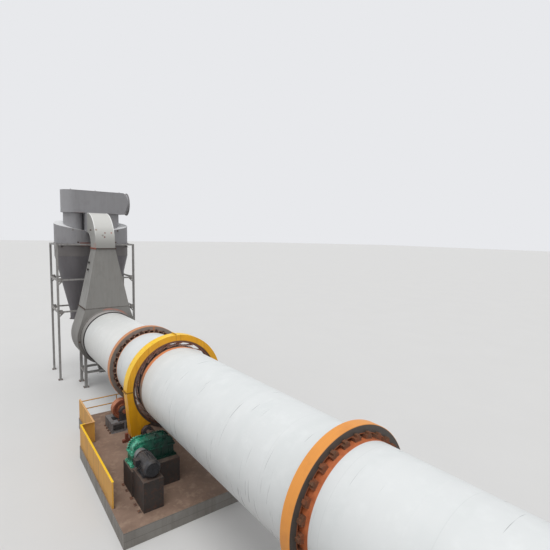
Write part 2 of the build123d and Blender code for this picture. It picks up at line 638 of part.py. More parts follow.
def fence_sheet(x0, x1, y0, y1, z0, z1, fold):
    # an upright sheet, with its top edge folded level and a post at each end; it runs along X or along Y
    sheet = block(x0, x1, y0, y1, z0, z1)
    if x1 - x0 > y1 - y0:
        sheet += block(x0, x1, min(y0, y0 + fold), max(y1, y0 + fold), z1 - FENCE_SHEET, z1)
        ends = ((x0, x0 + FENCE_POST), (x1 - FENCE_POST, x1))
        return fuse([sheet] + [block(a, b, y0, y0 + FENCE_POST, z0, z1) for a, b in ends])
    sheet += block(min(x0, x0 + fold), max(x1, x0 + fold), y0, y1, z1 - FENCE_SHEET, z1)
    return sheet


def foundation_nodes():
    slab = block(PLATFORM_X0, PLATFORM_X1, -PLATFORM_Y, PLATFORM_BACK_Y, 0, PLATFORM_TOP)
    slab += block(PLATFORM_STEP_X, PLATFORM_X1, -PLATFORM_WIDE_Y, 0, 0, PLATFORM_TOP)
    save("drive_platform", slab)
    save("feed_pedestal", block(FEED_TYRE_X - PEDESTAL_HALF_X, FEED_TYRE_X + PEDESTAL_HALF_X,
                                -PLATFORM_BACK_Y, PLATFORM_BACK_Y, 0, PLATFORM_TOP + PEDESTAL_RISE))
    top = PLATFORM_TOP + FENCE_HEIGHT
    x_end = PLATFORM_X0 + FENCE_INSET
    y_side = -PLATFORM_Y + FENCE_INSET
    y_near = -PLATFORM_WIDE_Y + FENCE_INSET
    save("fence_roller_side", fence_sheet(x_end, PLATFORM_STEP_X, y_side, y_side + FENCE_SHEET,
                                          PLATFORM_TOP, top, FENCE_FOLD))
    near = fence_sheet(PLATFORM_STEP_X, FENCE_NEAR_END_X, y_near, y_near + FENCE_SHEET, PLATFORM_TOP,
                       top, FENCE_FOLD)
    near += fence_sheet(PLATFORM_STEP_X, PLATFORM_STEP_X + FENCE_SHEET, y_near, y_side + FENCE_FOLD,
                        PLATFORM_TOP, top, FENCE_FOLD)
    save("fence_drive_side", near)

    rail_top = PLATFORM_TOP + RAIL_HEIGHT
    x_rail = x_end + RAIL_R
    y0 = y_side + FENCE_FOLD + RAIL_R
    y1 = PLATFORM_BACK_Y - FENCE_INSET
    rail = cyl_y(y0 - RAIL_R, y1 + RAIL_R, RAIL_R, x_rail, rail_top)
    rail += cyl_y(y0 - RAIL_R, y1 + RAIL_R, RAIL_R, x_rail, PLATFORM_TOP + RAIL_HEIGHT / 2)
    for i in range(RAIL_POSTS):
        y_post = y0 + RAIL_R + (y1 - y0 - 2 * RAIL_R) * i / (RAIL_POSTS - 1)
        rail += cyl_z(PLATFORM_TOP, rail_top, RAIL_POST_R, x_rail, y_post)
    save("fence_discharge_end", rail)


def hood_body(x0, x1, inset, z_axis):
    # a cylinder round the drum, with straight walls that leave it tangentially for the neck
    r = HOOD_R - inset
    half = HOOD_NECK_HALF - inset
    touch = math.atan2(HOOD_R, half) - math.acos(r / math.hypot(half, HOOD_R))
    ty = r * math.cos(touch)
    tz = z_axis + r * math.sin(touch)
    top = z_axis + HOOD_R
    neck = extrude_x([(half, top), (ty, tz), (-ty, tz), (-half, top)], x0, x1)
    return cyl(x0, x1, r, 0, z_axis) + neck


def shell_box(bottom, top, z0, z1):
    def loop(size, z):
        x0, x1, half = size
        return Wire.make_polygon([Vector(x0, -half, z), Vector(x1, -half, z), Vector(x1, half, z),
                                  Vector(x0, half, z)], close=True)
    return Solid.make_loft([loop(bottom, z0), loop(top, z1)], ruled=True)


def inner(size):
    x0, x1, half = size
    return x0 + SHEET, x1 - SHEET, half - SHEET


def hood_shell(x0, x1, z_axis):
    hood = hood_body(x0, x1, 0, z_axis) - hood_body(x0 + SHEET, x1 - SHEET, SHEET, z_axis)
    top = z_axis + HOOD_R
    flange = frame_block(x0, x1, -HOOD_NECK_HALF, HOOD_NECK_HALF, top - FLANGE_SHEET, top, FLANGE)
    return hood, flange


def collar_ring(x0, x1, lip_x):
    collar = tube(x0, x1, COLLAR_R, DRUM_R + COLLAR_GAP)
    collar += tube(lip_x, lip_x + SHEET, COLLAR_R, DRUM_R + COLLAR_GAP - SEAL_LIP)
    return on_axis(collar)


def hood_nodes():
    hood, flange = hood_shell(HOOD_X0, HOOD_X1, HOOD_AXIS_Z)
    flange -= block(HOOD_X1 - SHEET / 2, BEYOND, -BEYOND, BEYOND, 0, BEYOND)
    hood -= on_axis(cyl(HOOD_X1 - HOOD_ROOM, HOOD_X1 + HOOD_ROOM, DRUM_R + COLLAR_GAP))
    hood -= block(HOOD_X0 + CHUTE_END + CHUTE_LAP, HOOD_X1 - CHUTE_END - CHUTE_LAP, -CHUTE_HALF + CHUTE_LAP,
                  CHUTE_HALF - CHUTE_LAP, 0, HOOD_AXIS_Z - DRUM_R)
    save("discharge_hood", hood + flange)
    collar = collar_ring(HOOD_X1 - COLLAR_ROOT, HOOD_X1 + COLLAR_DEPTH, HOOD_X1 + COLLAR_DEPTH - SHEET)
    save("hood_collar", collar - block(HOOD_X0, HOOD_X1, -BEYOND, BEYOND, 0, BEYOND))


def strut(p0, p1, size):
    # a square bar between two points
    a = Vector(*p0)
    b = Vector(*p1)
    plane = Plane(origin=(a + b) / 2, z_dir=b - a)
    return plane * Box(size, size, (b - a).length)


def frame_legs(xs, half_y, top, size, brace_levels):
    legs = []
    for x in xs:
        for y in (-half_y, half_y):
            legs.append(block(x - size / 2, x + size / 2, y - size / 2, y + size / 2, 0, top))
            legs.append(block(x - size, x + size, y - size, y + size, 0, LEG_PLATE))
    beam = size * 0.8
    for z in brace_levels:
        for x in xs:
            legs.append(block(x - beam / 2, x + beam / 2, -half_y, half_y, z - beam / 2, z + beam / 2))
        for y in (-half_y, half_y):
            legs.append(block(xs[0], xs[1], y - beam / 2, y + beam / 2, z - beam / 2, z + beam / 2))
    return fuse(legs)


def hood_support_nodes():
    floor = HOOD_AXIS_Z - HOOD_R
    mouth = (HOOD_X0 + CHUTE_END, HOOD_X1 - CHUTE_END, CHUTE_HALF)
    spout = (HOOD_X0 + CHUTE_SPOUT_END, HOOD_X1 - CHUTE_SPOUT_END, CHUTE_SPOUT_HALF)
    chute = shell_box(spout, mouth, CHUTE_FOOT_Z, floor + HOOD_ROOM)
    chute -= shell_box(inner(spout), inner(mouth), CHUTE_FOOT_Z - SHEET, floor + HOOD_ROOM + SHEET)
    round_side = cyl(HOOD_X0 - HOOD_DEPTH, HOOD_X1 + HOOD_DEPTH, HOOD_R, 0, HOOD_AXIS_Z)
    rim = frame_block(spout[0] + SHEET, spout[1] - SHEET, -spout[2] + SHEET, spout[2] - SHEET, CHUTE_FOOT_Z,
                      CHUTE_FOOT_Z + FLANGE_SHEET, FLANGE + SHEET)
    save("hood_chute", chute - round_side + rim)
    legs = frame_legs((HOOD_X0 + LEG_INSET, HOOD_X1 - LEG_INSET), LEG_HALF_Y, HOOD_AXIS_Z, LEG_SIZE,
                      (LEG_BRACE_Z,))
    save("hood_legs", legs - round_side)


def duct_nodes():
    bottom = (HOOD_X0, HOOD_X1, HOOD_NECK_HALF)
    top = (DUCT_BACK_X, DUCT_FRONT_X, DUCT_HALF)
    riser = shell_box(bottom, top, HOOD_NECK_TOP, RISER_TOP)
    lean = (HOOD_NECK_HALF - DUCT_HALF) / (RISER_TOP - HOOD_NECK_TOP)
    for x, z in PORTS:
        y_wall = -HOOD_NECK_HALF + lean * (z - HOOD_NECK_TOP)
        riser += cyl_y(y_wall - PORT_LENGTH, y_wall + SHEET, PORT_R, x, z)
        riser += cyl_y(y_wall - PORT_LENGTH, y_wall - PORT_LENGTH + SHEET, 1.5 * PORT_R, x, z)
        riser -= cyl_y(y_wall - 2 * PORT_LENGTH, y_wall + 2 * SHEET, PORT_R - SHEET, x, z)
    riser -= shell_box(inner(bottom), inner(top), HOOD_NECK_TOP, RISER_TOP)
    low = frame_block(bottom[0] + SHEET / 2, bottom[1] - SHEET / 2, -bottom[2] + SHEET / 2,
                      bottom[2] - SHEET / 2, HOOD_NECK_TOP, HOOD_NECK_TOP + FLANGE_SHEET, FLANGE + SHEET / 2)
    low -= block(HOOD_X1 + SHEET / 2, BEYOND, -BEYOND, BEYOND, 0, BEYOND)
    high = frame_block(top[0] + SHEET / 2, top[1] - SHEET / 2, -top[2] + SHEET / 2, top[2] - SHEET / 2,
                       RISER_TOP - FLANGE_SHEET, RISER_TOP, FLANGE + SHEET / 2)
    save("riser_duct", riser + low + high)

    def bend(inset):
        half = DUCT_HALF - inset
        outer_r = BEND_OUTER_R - inset
        inner_r = BEND_INNER_R + inset
        quarter = cyl_y(-half, half, outer_r, BEND_CENTRE_X, BEND_CENTRE_Z)
        quarter -= cyl_y(-half - SHEET, half + SHEET, inner_r, BEND_CENTRE_X, BEND_CENTRE_Z)
        quarter &= block(BEND_CENTRE_X, BEND_CENTRE_X + 2 * BEND_OUTER_R, -half, half, BEND_CENTRE_Z,
                         BEND_CENTRE_Z + 2 * BEND_OUTER_R)
        foot = block(BEND_CENTRE_X + inner_r, BEND_CENTRE_X + outer_r, -half, half, RISER_TOP - inset,
                     BEND_CENTRE_Z)
        run = block(INLET_X1 - inset, BEND_CENTRE_X, -half, half, BEND_CENTRE_Z + inner_r,
                    BEND_CENTRE_Z + outer_r)
        return quarter + foot + run
    rim = frame_block(DUCT_BACK_X + SHEET / 2, DUCT_FRONT_X - SHEET / 2, -DUCT_HALF + SHEET / 2,
                      DUCT_HALF - SHEET / 2, RISER_TOP, RISER_TOP + FLANGE_SHEET, FLANGE + SHEET / 2)
    save("gooseneck_duct", bend(0) - bend(SHEET) + rim)


def helix_parts(side, height):
    # the spiral roof surface of a cyclone, falling one inlet height in a turn, thickened upwards
    # (or downwards for a negative height), as three solids of a third of a turn each
    return [helix_part(side, height, third, HELIX_STEPS // 3) for third in range(3)]


def helix_part(side, height, third, steps):
    rows = []
    for i in range(steps + 1):
        turn = (third + i / steps) / 3
        a = -side * (math.pi / 2 + turn * 2 * math.pi)
        z = ROOF_TOP_Z - ROOF_DROP * turn
        corners = []
        for r, rise in ((HELIX_IN_R, 0), (HELIX_OUT_R, 0), (HELIX_OUT_R, height), (HELIX_IN_R, height)):
            x = CYCLONE_X + r * math.cos(a)
            y = side * CYCLONE_Y + r * math.sin(a)
            corners.append(Vector(x, y, z + rise))
        rows.append(corners)
    return Solid.make_loft([Wire.make_polygon(row, close=True) for row in rows], ruled=True)


def cyclone_barrel(side):
    y = side * CYCLONE_Y
    y_near = min(side * INLET_IN_Y, side * DUCT_HALF)
    y_far = max(side * INLET_IN_Y, side * DUCT_HALF)
    tall = 2 * ROOF_DROP
    skin = tube_z(CYCLONE_R, CYCLONE_R - SHEET, CYCLONE_SEAM_Z, INLET_TOP_Z, CYCLONE_X, y)
    for part in helix_parts(side, tall):
        skin -= part
    inlet = block(CYCLONE_X, INLET_X1, y_near, y_far, INLET_FOOT_Z, INLET_TOP_Z)
    inlet -= block(CYCLONE_X - SHEET, INLET_X1 + SHEET, y_near + SHEET, y_far - SHEET, INLET_FOOT_Z + SHEET,
                   INLET_TOP_Z - SHEET)
    under = cyl_z(CYCLONE_SEAM_Z, INLET_TOP_Z, CYCLONE_R, CYCLONE_X, y)
    for part in helix_parts(side, -tall):
        inlet -= under & (Pos(0, 0, ROOF_SHEET + 1) * part)
    ring = tube_z(CYCLONE_R + RING_WIDTH, CYCLONE_R - RING_LAP, CYCLONE_RING_Z, CYCLONE_RING_Z + RING_SHEET,
                  CYCLONE_X, y)
    apart = (side * RING_APART, side * 2 * TOWER_Y_HALF)
    ring &= block(CYCLONE_X - 2 * CYCLONE_R, CYCLONE_X + 2 * CYCLONE_R, min(apart), max(apart), 0,
                  INLET_TOP_Z)
    return skin + inlet + ring


def cyclone_nodes():
    cones = []
    roofs = []
    tubes = []
    for name, side in (("left", -1), ("right", 1)):
        y = side * CYCLONE_Y
        save(f"cyclone_barrel_{name}", cyclone_barrel(side))
        middle = Pos(CYCLONE_X, y, (CONE_FOOT_Z + CYCLONE_SEAM_Z) / 2)
        height = CYCLONE_SEAM_Z - CONE_FOOT_Z
        spout_z = CONE_FOOT_Z - DUST_SPOUT
        cone = middle * Cone(CONE_FOOT_R, CYCLONE_R, height)
        cone -= middle * Cone(CONE_FOOT_R - SHEET, CYCLONE_R - SHEET, height)
        cone += tube_z(CONE_FOOT_R, CONE_FOOT_R - SHEET, spout_z, CONE_FOOT_Z, CYCLONE_X, y)
        cone += tube_z(CONE_FOOT_R + FLANGE, CONE_FOOT_R - RING_LAP, spout_z, spout_z + FLANGE_SHEET,
                       CYCLONE_X, y)
        cones.append(cone)
        ring = tube_z(CYCLONE_R - FIT_GAP, TUBE_R + 1, CYCLONE_SEAM_Z, PLENUM_Z1, CYCLONE_X, y)
        roofs.append(fuse([ring & part for part in helix_parts(side, ROOF_SHEET)]))
        tubes.append(tube_z(TUBE_R, TUBE_R - SHEET, INLET_FOOT_Z - TUBE_REACH, PLENUM_Z0, CYCLONE_X, y))
    save_all("cyclone_cones", cones)
    save_all("cyclone_roofs", roofs)
    save_all("vortex_tubes", tubes)


def plenum_nodes():
    middle = (PLENUM_Z0 + PLENUM_Z1) / 2
    half = (PLENUM_Z1 - PLENUM_Z0) / 2
    corner = math.hypot(half, PLENUM_R)

    def body(inset):
        box = block(CYCLONE_X - PLENUM_R + inset, CYCLONE_X + PLENUM_R - inset, -CYCLONE_Y, PLENUM_BOX_Y,
                    PLENUM_Z0 + inset, PLENUM_Z1 - inset)
        # the corners draw in to a round end
        taper = Pos(CYCLONE_X, PLENUM_BOX_Y - PLENUM_TAPER / 2, middle) * Rot(-90, 0, 0) \
            * Cone(corner - inset, half - inset, PLENUM_TAPER)
        end = block(CYCLONE_X - corner, CYCLONE_X + corner, PLENUM_BOX_Y - PLENUM_TAPER, PLENUM_BOX_Y,
                    middle - corner, middle + corner)
        box -= end - taper
        return box + cyl_z(PLENUM_Z0 + inset, PLENUM_Z1 - inset, PLENUM_R - inset, CYCLONE_X, -CYCLONE_Y)
    plenum = body(0) - body(SHEET)
    for side in (-1, 1):
        plenum -= cyl_z(PLENUM_Z0 - SHEET, PLENUM_Z0 + 2 * SHEET, TUBE_R - SHEET, CYCLONE_X,
                        side * CYCLONE_Y)
    throat_r = half - SHEET / 2
    end = PLENUM_BOX_Y + PLENUM_THROAT
    plenum += cyl_y(PLENUM_BOX_Y - SHEET, end, throat_r, CYCLONE_X, middle)
    plenum += cyl_y(end - RING_SHEET, end, half + FLANGE, CYCLONE_X, middle)
    plenum -= cyl_y(PLENUM_BOX_Y - PLENUM_TAPER / 2, end + SHEET, throat_r - SHEET, CYCLONE_X, middle)
    save("outlet_plenum", plenum)


def tower_nodes():
    xs = (CYCLONE_X - TOWER_X_HALF, CYCLONE_X + TOWER_X_HALF)
    tower = frame_legs(xs, TOWER_Y_HALF, CYCLONE_RING_Z, TOWER_COLUMN,
                       TOWER_LEVELS + (CYCLONE_RING_Z - 0.4 * TOWER_COLUMN,))
    for x in xs:
        for side in (-1, 1):
            for z in TOWER_LEVELS:
                foot = (x, side * TOWER_Y_HALF, z - KNEE)
                tower += strut(foot, (x, side * (TOWER_Y_HALF - KNEE), z), KNEE_SIZE)
    save("tower_frame", tower)


def feed_nodes():
    x0 = FEED_END_X - DRUM_IN_HOOD
    x1 = x0 + HOOD_DEPTH
    z_axis = axis_z(x0)
    hood, flange = hood_shell(x0, x1, z_axis)
    hood -= on_axis(cyl(x0 - HOOD_ROOM, x0 + HOOD_ROOM, DRUM_R + COLLAR_GAP))
    save("feed_hood", hood + flange)
    collar = collar_ring(x0 - COLLAR_DEPTH, x0 + COLLAR_ROOT, x0 - COLLAR_DEPTH)
    save("feed_collar", collar - block(x0, x1, -BEYOND, BEYOND, 0, BEYOND))
    legs = frame_legs((x0 + LEG_INSET, x1 - LEG_INSET), LEG_HALF_Y, z_axis, LEG_SIZE, (LEG_BRACE_Z,))
    save("feed_hood_legs", legs - cyl(x0 - HOOD_DEPTH, x1 + HOOD_DEPTH, HOOD_R, 0, z_axis))


os.makedirs("parts", exist_ok=True)
drum_nodes()
girth_gear_nodes()
rear_bearing_x, front_bearing_x = pinion_nodes()
guard_nodes()
roller_nodes()
drive_nodes(rear_bearing_x, front_bearing_x)
foundation_nodes()
hood_nodes()
hood_support_nodes()
duct_nodes()
cyclone_nodes()
plenum_nodes()
tower_nodes()
feed_nodes()
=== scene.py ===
import math
from itertools import product

import bmesh
import bpy
from mathutils import Color, Matrix, Vector


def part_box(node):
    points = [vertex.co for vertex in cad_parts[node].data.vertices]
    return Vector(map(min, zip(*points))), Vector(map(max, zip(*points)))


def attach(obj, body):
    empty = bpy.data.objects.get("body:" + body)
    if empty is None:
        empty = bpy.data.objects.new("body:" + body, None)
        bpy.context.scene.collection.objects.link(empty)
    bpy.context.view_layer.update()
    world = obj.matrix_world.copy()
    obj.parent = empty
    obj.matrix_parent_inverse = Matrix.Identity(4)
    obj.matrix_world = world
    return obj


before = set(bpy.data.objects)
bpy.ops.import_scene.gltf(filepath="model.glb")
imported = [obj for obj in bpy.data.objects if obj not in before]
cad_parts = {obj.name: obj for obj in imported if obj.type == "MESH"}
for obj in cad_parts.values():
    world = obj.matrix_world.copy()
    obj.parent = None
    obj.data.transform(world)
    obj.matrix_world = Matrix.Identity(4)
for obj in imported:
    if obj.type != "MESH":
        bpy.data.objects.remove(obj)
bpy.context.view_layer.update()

bl_info = {
    "name": "Slag dryer dressing",
    "version": (1, 0, 0),
    "blender": (4, 5, 0),
    "location": "3D View > Sidebar > Dryer",
    "description": "Fastenings, welds and finishes for an inclined drum dryer with twin cyclones",
    "category": "Object",
}

# Places and sizes in metres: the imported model's, and those of the seams, lugs and bolts that are
# added here. What belongs to the drum, its rollers or its drive is given on the drum's axis and
# turned with it. First the drum, its tyres and its gear
AXIS_HEIGHT = 3.3
INCLINE = math.radians(1.442)
SHELL_R = 1.5
SHELL_SEAM_XS = (-8.0, -6.0, -4.0, 1.0, 3.0, 5.0, 7.0, 11.5, 13.5)
TYRE_R = 1.785
TYRE_XS = {"discharge": -3.336, "feed": 9.373}
TYRE_HALF = 0.15
PAD_COUNT = 28
PAD_HALF_WIDTH = 0.085
PAD_OVERHANGS = {"discharge": 0.05, "feed": 0.095}
STOP_LUG_COUNT = 42
STOP_LUG = (0.07, 0.032, 0.1)
GEAR_MIDDLE = -0.215
GEAR_HALF = 0.14
GEAR_BORE_R = 1.65
SPRING_COUNT = 20
SPRING_START = math.radians(12)
SPRING_LENGTH = 0.629
SPRING_THICKNESS = 0.016
GUARD_R = 1.972
GUARD_DEPTH = 0.43
GUARD_LIP = 0.235
GUARD_FLANGE_OUT = 0.032
GUARD_BOLT_PITCH = 0.11
GUARD_JOINT_HALF = 0.012

# The rollers, the drive and the fences. A bearing has a width, a height of its axis above its
# foot and a radius; a fence has its two ends and its place beside the drum
FOUNDATION_TOP = 0.525
ROLLER_Y = 1.2549
ROLLER_Z = -1.8259
ROLLER_BASE_DEPTH = 1.16
ROLLER_BEARING = (0.19, 0.415, 0.185)
BEARING_OFFSET = 0.38
PINION_Y = -1.2856
PINION_Z = -1.5321
PINION_BEARING = (0.17, 0.26, 0.175)
PINION_BEARING_XS = (-0.59, 0.16)
PINION_COUPLING_XS = (0.61, 0.74)
GEARBOX_XS = (1.2, 1.69)
GEARBOX_YS = (-2.34, -0.86)
MOTOR_Y = -2.08
MOTOR_BACK = 2.985
TERMINAL_BOX_X = 2.327
DRIVE_ANCHORS = ((-1.66, (-0.75, -0.4, 0.0, 0.3)), (-2.49, (1.2, 1.6, 2.1, 2.5, 2.9)))
FENCES = ((-5.2, -2.5, -2.6), (-2.44, 2.26, -3.1))
FENCE_POST_PITCH = 1.2

# The hoods, the ducts, the cyclones and the tower
HOOD_R = 1.72
HOOD_BACK = -12.15
HOOD_FRONT = -10.3
FEED_HOOD_BACK = 15.9
FEED_HOOD_FRONT = 17.75
HOOD_NECK_HALF = 1.25
HOOD_LEG_Y = 1.25
COLLAR_DEPTH = 0.65
COLLAR_SEAM_R = 1.545
COLLAR_SEAM_XS = (-10.293, -9.66, 15.89, 15.26)
BEND_CENTRE = Vector((-12.525, 0, 8.52))
BEND_OUTER_R = 1.95
BEND_INNER_R = 0.735
DUCT_HALF = 0.55
DUCT_JOINT_Z = 8.31
RISER_PORTS = ((-11.386, -0.807, 7.448), (-11.334, -0.89, 7.03))
RISER_LUG_Z = 5.29
CYCLONE_X = -13.95
CYCLONE_Y = 1.13
CYCLONE_R = 1.11
CYCLONE_SEAM_Z = 7.75
CYCLONE_RING_Z = 8.53
CYCLONE_BOLT_R = 1.145
CYCLONE_BRACKET_Z = 8.3
CONE_SEAM_ZS = (6.55, 5.3)
CONE_TIP_Z = 4.1
CONE_TIP_R = 0.3
DUST_FLANGE_Z = 3.614
DUST_FLANGE_R = 0.33
TUBE_R = 0.57
PLENUM_HALF = 0.7
PLENUM_ZS = (10.51, 11.90)
PLENUM_END = 1.86
TOWER_HALF = 1.21
TOWER_BEAM_Y = 2.2
TOWER_FOOT_Y = 2.3
TOWER_LEVELS = (4.3, 6.29)
LEG_FOOT_TOP = 0.025
FLANGE_OUT = 0.034

SHARP_ANGLE = math.radians(35)
QUARTER = math.pi / 2
UP = (0, 0, 1)
DOWN = (0, 0, -1)
SIDES = (-1, 1)
CORNERS = tuple(product(SIDES, SIDES))


def at(x, y, z):
    return Matrix.Translation((x, y, z))


def spun(angle, axis):
    return Matrix.Rotation(angle, 4, axis)


LEVEL = Matrix.Identity(4)
ON_AXIS = at(0, 0, AXIS_HEIGHT) @ spun(-INCLINE, "Y")


def shade(red, green, blue):
    """A paint colour as red, green and blue out of 255."""
    return (red / 255, green / 255, blue / 255)


def length_property(name, description, default, low, high):
    return bpy.props.FloatProperty(
        name=name, description=description, default=default, min=low, max=high,
        subtype="DISTANCE", unit="LENGTH")


def colour_property(name, description, default):
    return bpy.props.FloatVectorProperty(
        name=name, description=description, default=default, size=3, min=0, max=1,
        subtype="COLOR_GAMMA")


class DryerSizes(bpy.types.PropertyGroup):
    bolt: length_property("Flange bolt", "Radius of a flange bolt's washer", 0.02, 0.005, 0.06)
    anchor: length_property("Anchor bolt", "Radius of an anchor bolt's washer", 0.034, 0.01, 0.08)
    pitch: length_property("Bolt pitch", "Distance between flange bolts", 0.15, 0.05, 0.5)
    bead: length_property("Weld bead", "Radius of a weld bead", 0.009, 0.002, 0.03)
    plate: length_property(
        "Gusset plate", "Thickness of gusset and lug plates", 0.014, 0.004, 0.05)


class DryerColours(bpy.types.PropertyGroup):
    drum: colour_property("Drum paint", "Pale paint of the shell", shade(226, 228, 227))
    yellow: colour_property("Guard yellow", "Gloss yellow of the gear guard", shade(240, 174, 22))
    fence: colour_property("Fence yellow", "Orange yellow of the fences", shade(214, 156, 48))
    green: colour_property("Gearbox green", "Gloss green of the gearbox", shade(14, 92, 70))
    motor: colour_property("Motor dark", "Dark paint of the motor", shade(44, 45, 49))
    hood: colour_property("Hood grey", "Warm grey of the hoods", shade(140, 138, 134))
    duct: colour_property("Duct grey", "Grey of the riser", shade(140, 138, 134))
    cyclone: colour_property(
        "Cyclone grey", "Mid grey of cyclones and plenum", shade(153, 152, 154))
    roof: colour_property("Roof grey", "Pale grey of the cyclone roofs", shade(228, 229, 230))
    tower: colour_property("Steelwork grey", "Grey of the tower and legs", shade(160, 158, 155))
    base: colour_property("Base grey", "Grey of the roller bases", shade(122, 121, 122))
    rust: colour_property("Rust", "Orange rust", shade(186, 104, 54))
    dark_rust: colour_property("Dark rust", "Brown rust", shade(98, 62, 46))
    dirt: colour_property("Dirt", "Dust and dried mud", shade(120, 104, 88))
    concrete: colour_property("Concrete", "Cast concrete", shade(150, 146, 140))
    floor: colour_property("Floor", "Studio floor", shade(214, 213, 211))
    sky: colour_property("Backdrop", "Studio backdrop", shade(232, 233, 236))


def paint(colour):
    """The linear colour with alpha that Blender's sockets take."""
    return (*Color(tuple(colour)).from_srgb_to_scene_linear(), 1.0)


# Shaping


def across(x):
    """A place on the drum's axis, with z along the drum."""
    return ON_AXIS @ at(x, 0, 0) @ spun(QUARTER, "Y")


def round_axis(share, start=0.0):
    """A place turned round the drum's axis by a share of a full turn."""
    return ON_AXIS @ spun(start + math.tau * share, "X")


def facing(point, direction):
    """A place whose z axis points along direction."""
    turned = Vector(direction).to_track_quat("Z", "Y").to_matrix().to_4x4()
    return Matrix.Translation(point) @ turned


def on_axis(point, direction):
    """A place beside the drum's axis, turned with it, whose z axis points along direction."""
    return ON_AXIS @ facing(point, direction)


def disc(bm, place, radius, height, base=0.0, segments=12, top=None):
    """A round or many-sided stub standing on the plane z = 0 of place."""
    bmesh.ops.create_cone(
        bm, cap_ends=True, cap_tris=False, segments=segments, radius1=radius,
        radius2=radius if top is None else top, depth=height,
        matrix=place @ at(0, 0, base + height / 2))


def bolt(bm, place, size):
    """Washer, hexagon head and the end of the thread."""
    disc(bm, place, size, 0.2 * size, segments=10)
    disc(bm, place, 0.82 * size, 0.6 * size, 0.2 * size, segments=6)
    disc(bm, place, 0.42 * size, 0.35 * size, 0.8 * size, segments=6)


def bolt_row(bm, start, end, pitch, direction, size, within=LEVEL):
    """Bolts at an even pitch between two points."""
    a, b = Vector(start), Vector(end)
    gaps = max(1, round((b - a).length / pitch))
    for i in range(gaps + 1):
        bolt(bm, within @ facing(a.lerp(b, i / gaps), direction), size)


def bolt_circle(bm, place, radius, count, size, start=0.0):
    """Bolts round the z axis of place."""
    for i in range(count):
        angle = start + math.tau * i / count
        bolt(bm, place @ at(radius * math.cos(angle), radius * math.sin(angle), 0), size)


def flange_bolts(bm, xs, half, z, sizes, way=1, ends=(0, 1)):
    """Bolts along both sides of a level flange and across the given ends."""
    for side in SIDES:
        y = side * (half + FLANGE_OUT)
        bolt_row(bm, (xs[0], y, z), (xs[1], y, z), sizes.pitch, (0, 0, way), sizes.bolt)
    for end in ends:
        x = xs[end] + SIDES[end] * FLANGE_OUT
        bolt_row(bm, (x, -half, z), (x, half, z), sizes.pitch, (0, 0, way), sizes.bolt)


def bead(bm, start, end, radius, within=LEVEL):
    """A straight weld bead between two points."""
    a, b = Vector(start), Vector(end)
    disc(bm, within @ facing(a, b - a), radius, (b - a).length, segments=6)


def edges_at(verts):
    """The edges at some vertices, each once, in the order of the vertices."""
    return list(dict.fromkeys(edge for vert in verts for edge in vert.link_edges))


def hoop(bm, place, ring_radius, radius, steps=72, sweep=math.tau, start=0.0):
    """A round bar or bead bent about the z axis of place."""
    made = bmesh.ops.create_circle(
        bm, cap_ends=False, segments=6, radius=radius,
        matrix=spun(start, "Z") @ at(ring_radius, 0, 0) @ spun(QUARTER, "X"))
    bmesh.ops.spin(
        bm, geom=edges_at(made["verts"]), cent=(0, 0, 0), axis=UP, angle=sweep, steps=steps,
        use_merge=math.isclose(sweep, math.tau))
    swept = set(made["verts"])
    reach = list(made["verts"])
    while reach:
        for edge in reach.pop().link_edges:
            for vert in edge.verts:
                if vert not in swept:
                    swept.add(vert)
                    reach.append(vert)
    bmesh.ops.transform(bm, matrix=place, verts=list(swept))


def plate(bm, place, size, edge=0.003):
    """A flat plate or block with softened edges, centred on place."""
    made = bmesh.ops.create_cube(bm, size=1.0, matrix=place @ Matrix.Diagonal((*size, 1.0)))
    bmesh.ops.bevel(
        bm, geom=edges_at(made["verts"]), offset=min(edge, min(size) / 4), segments=1,
        profile=0.5, affect="EDGES", material=-1)


def foot(bm, x, y, z, size, spots, bolt_size):
    """A foot plate lying on the level z, with a bolt at each spot."""
    plate(bm, at(x, y, z + size[2] / 2), size)
    for dx, dy in spots:
        bolt(bm, facing((x + dx, y + dy, z + size[2]), UP), bolt_size)


def thicken(bm, faces, place, thickness):
    """Makes a plate of flat faces, as thick as given along y of place."""
    made = bmesh.ops.extrude_face_region(bm, geom=faces)
    moved = [item for item in made["geom"] if isinstance(item, bmesh.types.BMVert)]
    bmesh.ops.translate(bm, verts=moved, vec=place.to_3x3() @ Vector((0, thickness, 0)))


def gusset(bm, place, reach, thickness):
    """A three-cornered plate in the xz plane of place, with its square corner at the origin."""
    back = -thickness / 2
    verts = [bm.verts.new(place @ Vector(point))
             for point in ((0, back, 0), (reach, back, 0), (0, back, reach))]
    thicken(bm, [bm.faces.new(verts)], place, thickness)


def lug(bm, place, size, thickness):
    """A lifting lug: a rounded plate with a hole, standing on the plane z = 0 of place."""
    half = size / 2
    outer, hole = [bmesh.ops.create_circle(
        bm, cap_ends=False, segments=16, radius=radius,
        matrix=place @ at(0, 0, half) @ spun(QUARTER, "X"))["verts"] for radius in (half, size / 5)]
    inverse = place.inverted()
    for vert in outer:
        point = inverse @ vert.co
        if point.z < half:
            if abs(point.x) > size / 8:
                point.x = math.copysign(half, point.x)
            point.z = -thickness / 2
            vert.co = place @ point
    bmesh.ops.remove_doubles(bm, verts=outer, dist=size / 1000)
    rims = [vert for vert in outer + hole if vert.is_valid]
    bridged = bmesh.ops.bridge_loops(bm, edges=edges_at(rims))
    thicken(bm, bridged["faces"], place, thickness)


def finish_piece(name, bm, finish, body="plant"):
    """Makes the object of a piece and lets it ride on its body."""
    bmesh.ops.recalc_face_normals(bm, faces=bm.faces)
    mesh = bpy.data.meshes.new(name)
    bm.to_mesh(mesh)
    bm.free()
    mesh.shade_smooth()
    mesh.set_sharp_from_angle(angle=SHARP_ANGLE)
    piece = bpy.data.objects.new(name, mesh)
    bpy.context.scene.collection.objects.link(piece)
    mesh.materials.append(MATERIALS[finish])
    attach(piece, body)


# Masks and shared groups


